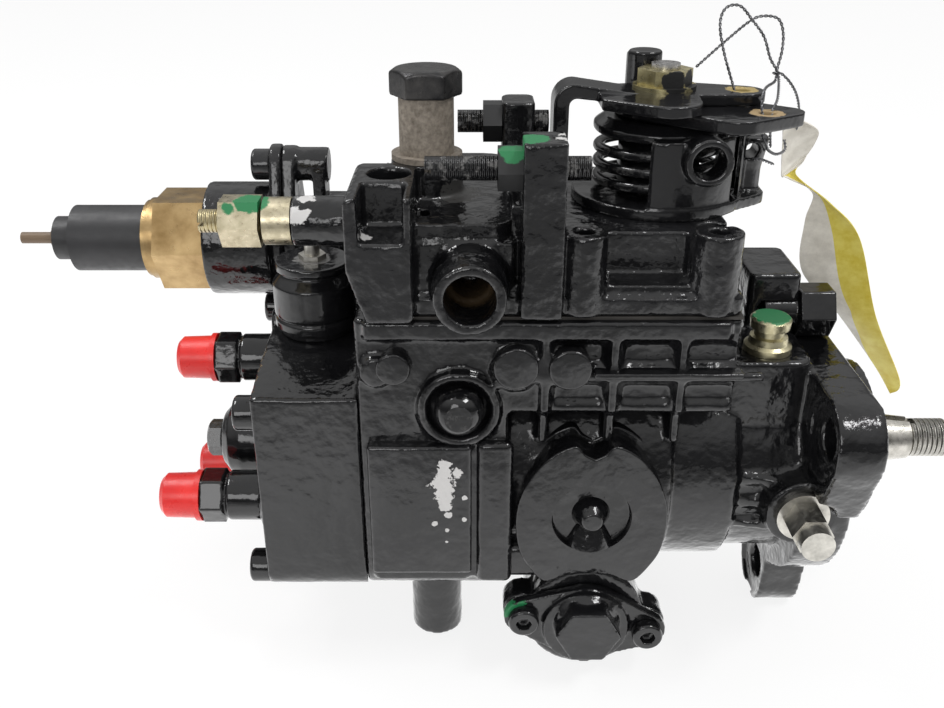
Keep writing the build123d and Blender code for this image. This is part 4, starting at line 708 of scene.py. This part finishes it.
def boss_body(centre_x, face_y, root_y, swell):
    """The shield outline drawn out from its root to its face, with rounded edges."""
    half_outline = [(0.0, 17.4), (2.6, 18.8), (6.0, 21.4), (13.2, 17.0), (18.8, 8.4), (21.2, -1.0),
                    (20.4, -11.7), (17.4, -18.5), (12.6, -23.8), (6.0, -21.6), (0.0, -21.2)]
    mirrored = [(-x, z) for x, z in reversed(half_outline[1:-1])]
    outline = [Vector((x, 0.0, z)) for x, z in half_outline + mirrored + half_outline[:1]]
    ring = smooth_route(outline, 6)[:-1]
    boss = flat_disc(len(ring), 20.0 * MM)
    order = sorted(boss.data.vertices, key=lambda vertex: math.atan2(vertex.co.x, vertex.co.z))
    start = min(range(len(order)),
                key=lambda index: abs(math.atan2(order[index].co.x, order[index].co.z)))
    for step, place in enumerate(ring):
        vertex = order[(start + step) % len(order)]
        vertex.co = ((centre_x + place.x * swell) * MM, root_y * MM, place.z * swell * MM)
    draw_out(boss, face_y - root_y)
    rounded(boss, 1.4, 5, 55.0)
    return boss


def sink_disc(boss, centre_x, face_y):
    """Sinks a round disc into the boss's face and leaves a small cone on a skirt in it."""
    disc_z = -2.0
    deselect_all()
    bpy.ops.mesh.primitive_cylinder_add(vertices=72, radius=11.2 * MM, depth=6.0 * MM,
                                        location=(centre_x * MM, face_y * MM, disc_z * MM),
                                        rotation=ALONG_Y)
    sinking = bpy.context.object
    settle(sinking)
    rounded(sinking, 0.9, 4)
    combine(boss, sinking, "DIFFERENCE")

    deselect_all()
    bpy.ops.mesh.primitive_cone_add(vertices=48, radius1=5.6 * MM, radius2=2.7 * MM, depth=5.4 * MM,
                                    location=(centre_x * MM, (face_y + 0.6) * MM, disc_z * MM),
                                    rotation=ALONG_Y)
    cone = bpy.context.object
    settle(cone)
    rounded(cone, 0.5, 4)
    deselect_all()
    bpy.ops.mesh.primitive_cone_add(vertices=48, radius1=7.4 * MM, radius2=2.9 * MM, depth=9.4 * MM,
                                    location=(centre_x * MM, (face_y + 5.0) * MM, -7.2 * MM))
    skirt = bpy.context.object
    settle(skirt)
    rounded(skirt, 0.4, 3)
    combine(boss, cone, "UNION")
    combine(boss, skirt, "UNION")
    close_up(boss)


def shield_boss(name, centre_x, face_y, root_y, swell=1.0, sunk=True):
    """The shield-shaped boss over the cam chamber, with its sunk disc and small cone."""
    boss = boss_body(centre_x, face_y, root_y, swell)
    if sunk:
        sink_disc(boss, centre_x, face_y)
    name_piece(boss, name, housing_paint, "pump_body")
    smooth_by_angle(boss, 40.0)


def coil(name, x, y, low, high, radius, wire, turns, material, body):
    """Coil spring: a round section screwed up round the shaft's axis."""
    deselect_all()
    bpy.ops.mesh.primitive_circle_add(vertices=14, radius=wire * MM, location=(radius * MM, 0.0, 0.0),
                                      rotation=ALONG_Y)
    spring = bpy.context.object
    settle(spring)
    screw = spring.modifiers.new("coils", "SCREW")
    screw.axis = "Z"
    screw.angle = 2.0 * math.pi * turns
    screw.screw_offset = (high - low - 2.0 * wire) * MM
    steps_per_turn = 44
    screw.steps = int(steps_per_turn * turns)
    screw.render_steps = int(steps_per_turn * turns)
    apply_all(spring)
    spring.location = (x * MM, y * MM, (low + wire) * MM)
    settle(spring)
    close_up(spring)
    name_piece(spring, name, material, body)
    smooth_all(spring)
    return spring


# ---------------------------------------------------------------- seal wire and its tag

def twisted_wire(name, runs, material, body, offset, thickness, lay):
    """Two thin steel strands twisted round each other along each run, in millimetres."""
    deselect_all()
    curve = bpy.data.curves.new(name, "CURVE")
    curve.dimensions = "3D"
    curve.bevel_depth = thickness * MM
    curve.bevel_resolution = 1
    curve.use_fill_caps = True
    for points in runs:
        route = smooth_route(points, 24)
        along = 0.0
        strands = ([], [])
        side = Vector((0.0, 1.0, 0.0))
        for index, place in enumerate(route):
            heading = (route[min(index + 1, len(route) - 1)] - route[max(index - 1, 0)]).normalized()
            side = (side - heading * side.dot(heading)).normalized()
            across = heading.cross(side)
            if index:
                along += (place - route[index - 1]).length
            angle = 2.0 * math.pi * along / lay
            swing = (side * math.cos(angle) + across * math.sin(angle)) * offset
            strands[0].append(place + swing)
            strands[1].append(place - swing)
        for strand in strands:
            spline = curve.splines.new("POLY")
            spline.points.add(len(strand) - 1)
            for point, place in zip(spline.points, strand):
                point.co = (place.x * MM, place.y * MM, place.z * MM, 1.0)
    piece = bpy.data.objects.new(name, curve)
    bpy.context.scene.collection.objects.link(piece)
    choose(piece)
    bpy.ops.object.convert(target="MESH")
    piece = bpy.context.object
    name_piece(piece, name, material, body)
    smooth_by_angle(piece, 60.0)
    return piece


def bent_lever():
    """Lever plate over the spring, with its stop arm bent down and a post behind the nut."""
    outer = [(-60.0, 108.0), (-66.0, 108.4), (-79.4, 110.4)]
    outer += [(-79.4 - 5.6 * math.sin(turn), 104.8 + 5.6 * math.cos(turn))
              for turn in (math.radians(step * 11.25) for step in range(1, 9))]
    outer += [(-85.0, 92.6)]
    inner = [(-80.9, 92.6)]
    inner += [(-78.9 - 2.0 * math.cos(turn), 104.6 + 2.0 * math.sin(turn))
              for turn in (math.radians(step * 22.5) for step in range(0, 5))]
    inner += [(-66.0, 105.2), (-60.0, 105.0)]
    outline = outer + inner
    arm = flat_disc(len(outline), 20.0 * MM)
    for vertex, (x, z) in zip(arm.data.vertices, outline):
        vertex.co = (x * MM, -4.6 * MM, z * MM)
    draw_out(arm, 12.0)

    deselect_all()
    bpy.ops.mesh.primitive_cylinder_add(vertices=40, radius=4.7 * MM, depth=10.6 * MM,
                                        location=(-58.6 * MM, 14.0 * MM, 111.2 * MM))
    post = bpy.context.object
    settle(post)
    rounded(post, 0.8, 4)

    lever = merged_copy("throttle_lever")
    start_edit(lever)
    bpy.ops.mesh.bisect(plane_co=(-73.0 * MM, 0.0, 0.0), plane_no=(1.0, 0.0, 0.0), use_fill=True,
                        clear_inner=True)
    bpy.ops.mesh.select_all(action="SELECT")
    bpy.ops.mesh.normals_make_consistent(inside=False)
    end_edit()
    choose(lever)
    arm.select_set(True)
    post.select_set(True)
    bpy.ops.object.join()
    reskin(lever, 0.00034 * coarse, 3, 80000)
    name_piece(lever, "bent_throttle_lever", lever_plate_paint, "throttle")
    smooth_all(lever)
    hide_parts("throttle_lever")


# ---------------------------------------------------------------- springs, each as its own piece with its own mesh

def loose_springs(node_name, new_name):
    """The node's springs as separate pieces, in order of height."""
    start_edit(merged_copy(node_name))
    bpy.ops.mesh.separate(type="LOOSE")
    end_edit()
    found = sorted(bpy.context.selected_objects,
                   key=lambda one: min(vertex.co.z for vertex in one.data.vertices))
    for number, one in enumerate(found, 1):
        name = new_name if len(found) == 1 else new_name + "_" + str(number)
        name_piece(one, name, bare_steel, "pump_body")
        smooth_by_angle(one, 60.0)
        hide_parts(node_name)
    return found


advance_spring = loose_springs("timing_spring", "advance_spring")[0]
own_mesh(advance_spring)
low_spring, middle_spring, high_spring = loose_springs("delivery_springs", "outlet_spring")
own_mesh(middle_spring)
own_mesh(high_spring)
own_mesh(low_spring)

domed_head("pivot_bolt_hump", -110.3, 31.9, 6.6, -40.0, -45.0)
bent_lever()
shield_boss("shield_boss", -73.3, -41.4, -26.0)
shield_boss("shield_boss_root", -73.0, -33.0, -24.0, swell=1.07, sunk=False)
throttle_x, throttle_y = -54.5, 4.0
lever_spring = coil("lever_return_coil", throttle_x, throttle_y, low=79.9, high=96.3, radius=17.0,
                    wire=1.45, turns=3.15, material=lever_paint, body="pump_body")
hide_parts("return_spring")

wire_runs = [
    [(-34.6, 1.0, 103.0), (-35.8, 1.0, 107.1), (-39.5, 3.0, 117.5), (-40.8, 5.0, 124.4), (-39.2, 7.0, 128.2),
     (-35.3, 8.0, 128.6), (-31.5, 8.5, 125.0), (-27.6, 9.0, 120.5), (-25.2, 9.0, 114.9), (-23.2, 9.0, 112.0),
     (-22.6, 7.5, 110.0), (-25.6, -4.0, 106.8), (-28.6, -11.0, 104.6), (-29.0, -12.4, 100.0),
     (-27.4, -9.0, 95.0)],
    [(-44.6, 12.0, 112.0), (-37.8, 12.0, 118.4), (-31.1, 12.0, 124.2), (-27.5, 12.0, 125.5),
     (-23.5, 12.0, 124.8), (-22.0, 11.0, 121.5), (-21.9, 10.0, 116.9), (-22.8, 9.3, 111.9),
     (-23.6, 7.0, 109.2), (-29.1, -4.0, 109.4), (-31.4, -10.0, 107.5), (-31.6, -13.0, 103.2),
     (-30.8, -12.0, 99.0), (-28.2, -8.0, 95.0), (-25.9, -3.0, 92.4), (-22.5, 2.0, 90.1),
     (-19.6, 6.0, 89.4), (-17.3, 10.0, 89.6), (-17.0, 13.0, 91.4)],
    [(-24.2, 8.0, 111.0), (-21.4, 9.2, 110.6), (-18.1, 10.0, 107.6), (-15.0, 13.0, 103.4),
     (-12.6, 17.0, 98.2), (-12.0, 19.0, 93.0)],
    [(-31.6, -9.0, 91.6), (-28.6, -7.0, 90.9), (-24.5, -4.0, 88.9)],
]
seal_loops = twisted_wire("seal_wire_loops", wire_runs, wire_steel, "throttle",
                          offset=0.24, thickness=0.2, lay=2.6)
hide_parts("seal_wire")


def tag_finish():
    """Pale card, with the coloured edge that such tags have, rubbed and creased."""
    material, tree, shader, coordinates = new_material("tag_card")
    split = tree.nodes.new("ShaderNodeSeparateXYZ")
    tree.links.new(tree.nodes["Texture Coordinate"].outputs["UV"], split.inputs[0])
    edge_stops = [(0.0, grey(1.0)), (0.30, grey(1.0)), (0.33, grey(0.10)),
                  (0.50, grey(0.42)), (0.78, grey(0.58)), (1.0, grey(0.05))]
    limit = ramp_node(tree, split.outputs["Y"], edge_stops)
    coloured = math_node(tree, "GREATER_THAN", split.outputs["X"], limit)
    stain = noise_node(tree, coordinates, 160.0, 5.0, 0.65)
    card = ramp_node(tree, stain, [(0.35, (0.68, 0.64, 0.56, 1)), (0.65, (0.88, 0.84, 0.75, 1))])
    yellow = ramp_node(tree, stain, [(0.35, (0.72, 0.56, 0.05, 1)), (0.65, (0.86, 0.74, 0.16, 1))])
    tree.links.new(mix_colour(tree, coloured, card, yellow), shader.inputs["Base Color"])
    shader.inputs["Roughness"].default_value = 0.42
    add_bump(tree, shader, stain, 0.0002)
    return material


def tag_edge(places, along):
    """A place on one long edge of the tag, along it from 0 to 1."""
    route = smooth_route(places, 16)
    step = along * (len(route) - 1)
    low = min(int(step), len(route) - 2)
    return route[low].lerp(route[low + 1], step - low)


tag_left = [(-17.2, 17.0, 98.4), (-15.6, 19.0, 89.8), (-13.9, 21.0, 79.0), (-12.0, 22.0, 77.6),
            (-1.6, 27.0, 71.3), (-0.6, 33.0, 60.0), (2.6, 38.0, 41.6), (18.8, 42.0, 24.2), (36.0, 44.0, 3.0)]
tag_right = [(-10.9, 17.0, 95.8), (-4.9, 20.0, 91.7), (-7.3, 22.0, 83.2), (-8.6, 23.0, 78.0),
             (4.0, 25.0, 68.4), (16.0, 28.0, 56.0), (28.0, 33.0, 27.0), (43.0, 38.0, 0.0), (42.4, 42.0, -7.0)]
CARD_THICKNESS = 0.0003
deselect_all()
bpy.ops.mesh.primitive_grid_add(x_subdivisions=12, y_subdivisions=96, size=1.0, calc_uvs=True)
tag = bpy.context.object
CRUMPLED_AT = 0.22
for vertex in tag.data.vertices:
    across = vertex.co.x + 0.5
    along = vertex.co.y + 0.5
    place = tag_edge(tag_left, along).lerp(tag_edge(tag_right, along), across)
    crumple = max(0.0, 1.0 - abs(along - CRUMPLED_AT) * 4.0)
    creases = math.sin(along * 70.0 + across * 5.0) * 0.5 * crumple
    ripple = creases + math.sin(across * math.pi) * 0.9
    vertex.co = ((place.x + ripple * 0.3) * MM, (place.y + ripple) * MM, place.z * MM)
card = tag.modifiers.new("card", "SOLIDIFY")
card.thickness = CARD_THICKNESS
card.offset = 0.0
apply_all(tag)
start_edit(tag)
bpy.ops.mesh.normals_make_consistent(inside=False)
end_edit()
settle(tag)
name_piece(tag, "seal_tag_card", tag_finish(), "throttle")
smooth_by_angle(tag, 40.0)
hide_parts("seal_tag")


# ---------------------------------------------------------------- studio

FLOOR_HEIGHT = -0.0592
SEEN_STRENGTH = 1.05
PAINTED_GLOW_STRENGTH = 1.9


def show_white(tree, shader, share):
    """Seen, the floor is mostly plain white; mirrored, it is a painted glow that is brightest under the pump
    and falls off with distance.
    """
    path = tree.nodes.new("ShaderNodeLightPath")
    bounced = math_node(tree, "MAXIMUM", path.outputs["Is Glossy Ray"],
                        path.outputs["Is Transmission Ray"])
    seen = math_node(tree, "MAXIMUM", path.outputs["Is Camera Ray"], bounced)
    glow = tree.nodes.new("ShaderNodeEmission")
    place = tree.nodes.new("ShaderNodeNewGeometry")
    depth = tree.nodes.new("ShaderNodeSeparateXYZ")
    tree.links.new(place.outputs["Position"], depth.inputs[0])
    cloud = noise_node(tree, place.outputs["Position"], 9.0, 3.0, 0.55)
    drift = math_node(tree, "MULTIPLY", math_node(tree, "SUBTRACT", cloud, 0.5), 0.5)
    away = math_node(tree, "ADD", math_node(tree, "ABSOLUTE", depth.outputs["Y"]), drift)
    # Painted glow for reflections only: the floor shines brightest under the pump and fades away from it,
    # with a cloudy edge.
    mirrored = ramp_node(tree, away, [(0.06, grey(1.0)), (0.16, grey(0.72)),
                                      (0.26, grey(0.42)), (0.42, grey(0.22))])
    painted_glow_near = math_node(tree, "MULTIPLY", mirrored, PAINTED_GLOW_STRENGTH)
    level = tree.nodes.new("ShaderNodeMix")
    tree.links.new(path.outputs["Is Camera Ray"], level.inputs[0])
    tree.links.new(painted_glow_near, level.inputs[2])
    level.inputs[3].default_value = SEEN_STRENGTH
    glow.inputs["Color"].default_value = (1.0, 1.0, 1.0, 1.0)
    tree.links.new(level.outputs[0], glow.inputs["Strength"])
    blend = tree.nodes.new("ShaderNodeMixShader")
    tree.links.new(math_node(tree, "MULTIPLY", seen, share), blend.inputs[0])
    tree.links.new(shader.outputs[0], blend.inputs[1])
    tree.links.new(glow.outputs[0], blend.inputs[2])
    tree.links.new(blend.outputs[0], tree.nodes["Material Output"].inputs["Surface"])


deselect_all()
bpy.ops.mesh.primitive_plane_add(size=8.0, location=(0.0, 1.0, FLOOR_HEIGHT))
floor = bpy.context.object
settle(floor)
floor.name = "studio_floor"
floor_finish, floor_tree, floor_shader, _ = new_material("studio_floor_white")
floor_shader.inputs["Base Color"].default_value = grey(0.90)
floor_shader.inputs["Roughness"].default_value = 0.6
show_white(floor_tree, floor_shader, 0.8)
floor.data.materials.append(floor_finish)

world = bpy.data.worlds.new("studio_world")
bpy.context.scene.world = world
world.use_nodes = True
# An even room, which shows in the paint as a bright ceiling over dim walls
room = world.node_tree
room_path = room.nodes.new("ShaderNodeLightPath")
room_place = room.nodes.new("ShaderNodeTexCoord")
room_height = room.nodes.new("ShaderNodeSeparateXYZ")
room.links.new(room_place.outputs["Generated"], room_height.inputs[0])
room_mirrored = ramp_node(room, room_height.outputs["Z"], [(0.0, grey(0.16)), (0.2, grey(0.2)),
                                                           (0.42, grey(0.6)), (0.75, grey(1.0))])
room_lit = mix_colour(room, room_path.outputs["Is Glossy Ray"], grey(0.62), room_mirrored)
room.links.new(mix_colour(room, room_path.outputs["Is Camera Ray"], room_lit, grey(1.0)),
               room.nodes["Background"].inputs["Color"])
room.nodes["Background"].inputs["Strength"].default_value = 1.0


def area_light(name, place, target, size, power):
    deselect_all()
    bpy.ops.object.light_add(type="AREA", location=place)
    lamp = bpy.context.object
    lamp.name = name
    lamp.data.shape = "RECTANGLE"
    lamp.data.size = size[0]
    lamp.data.size_y = size[1]
    lamp.data.energy = power
    aim = Vector(target) - Vector(place)
    lamp.rotation_euler = aim.to_track_quat("-Z", "Y").to_euler()


area_light("ceiling_panel_left", (-0.75, 0.15, 1.15), (-0.1, 0.0, 0.0), (0.5, 0.18), 6.0)
area_light("ceiling_panel_right", (0.55, -0.35, 1.15), (-0.1, 0.0, 0.0), (0.5, 0.18), 6.0)
area_light("window", (-0.5, -1.3, 0.6), (-0.1, 0.0, 0.02), (0.6, 0.5), 4.0)

bpy.ops.object.camera_add(location=(-0.1068, -0.2725, 0.1621), rotation=(math.radians(64.0), 0.0, 0.0))
camera = bpy.context.object
camera.data.sensor_width = 36.0
camera.data.lens = 38.14
camera.data.clip_start = 0.01
bpy.context.scene.camera = camera
bpy.context.scene.view_settings.view_transform = "Standard"
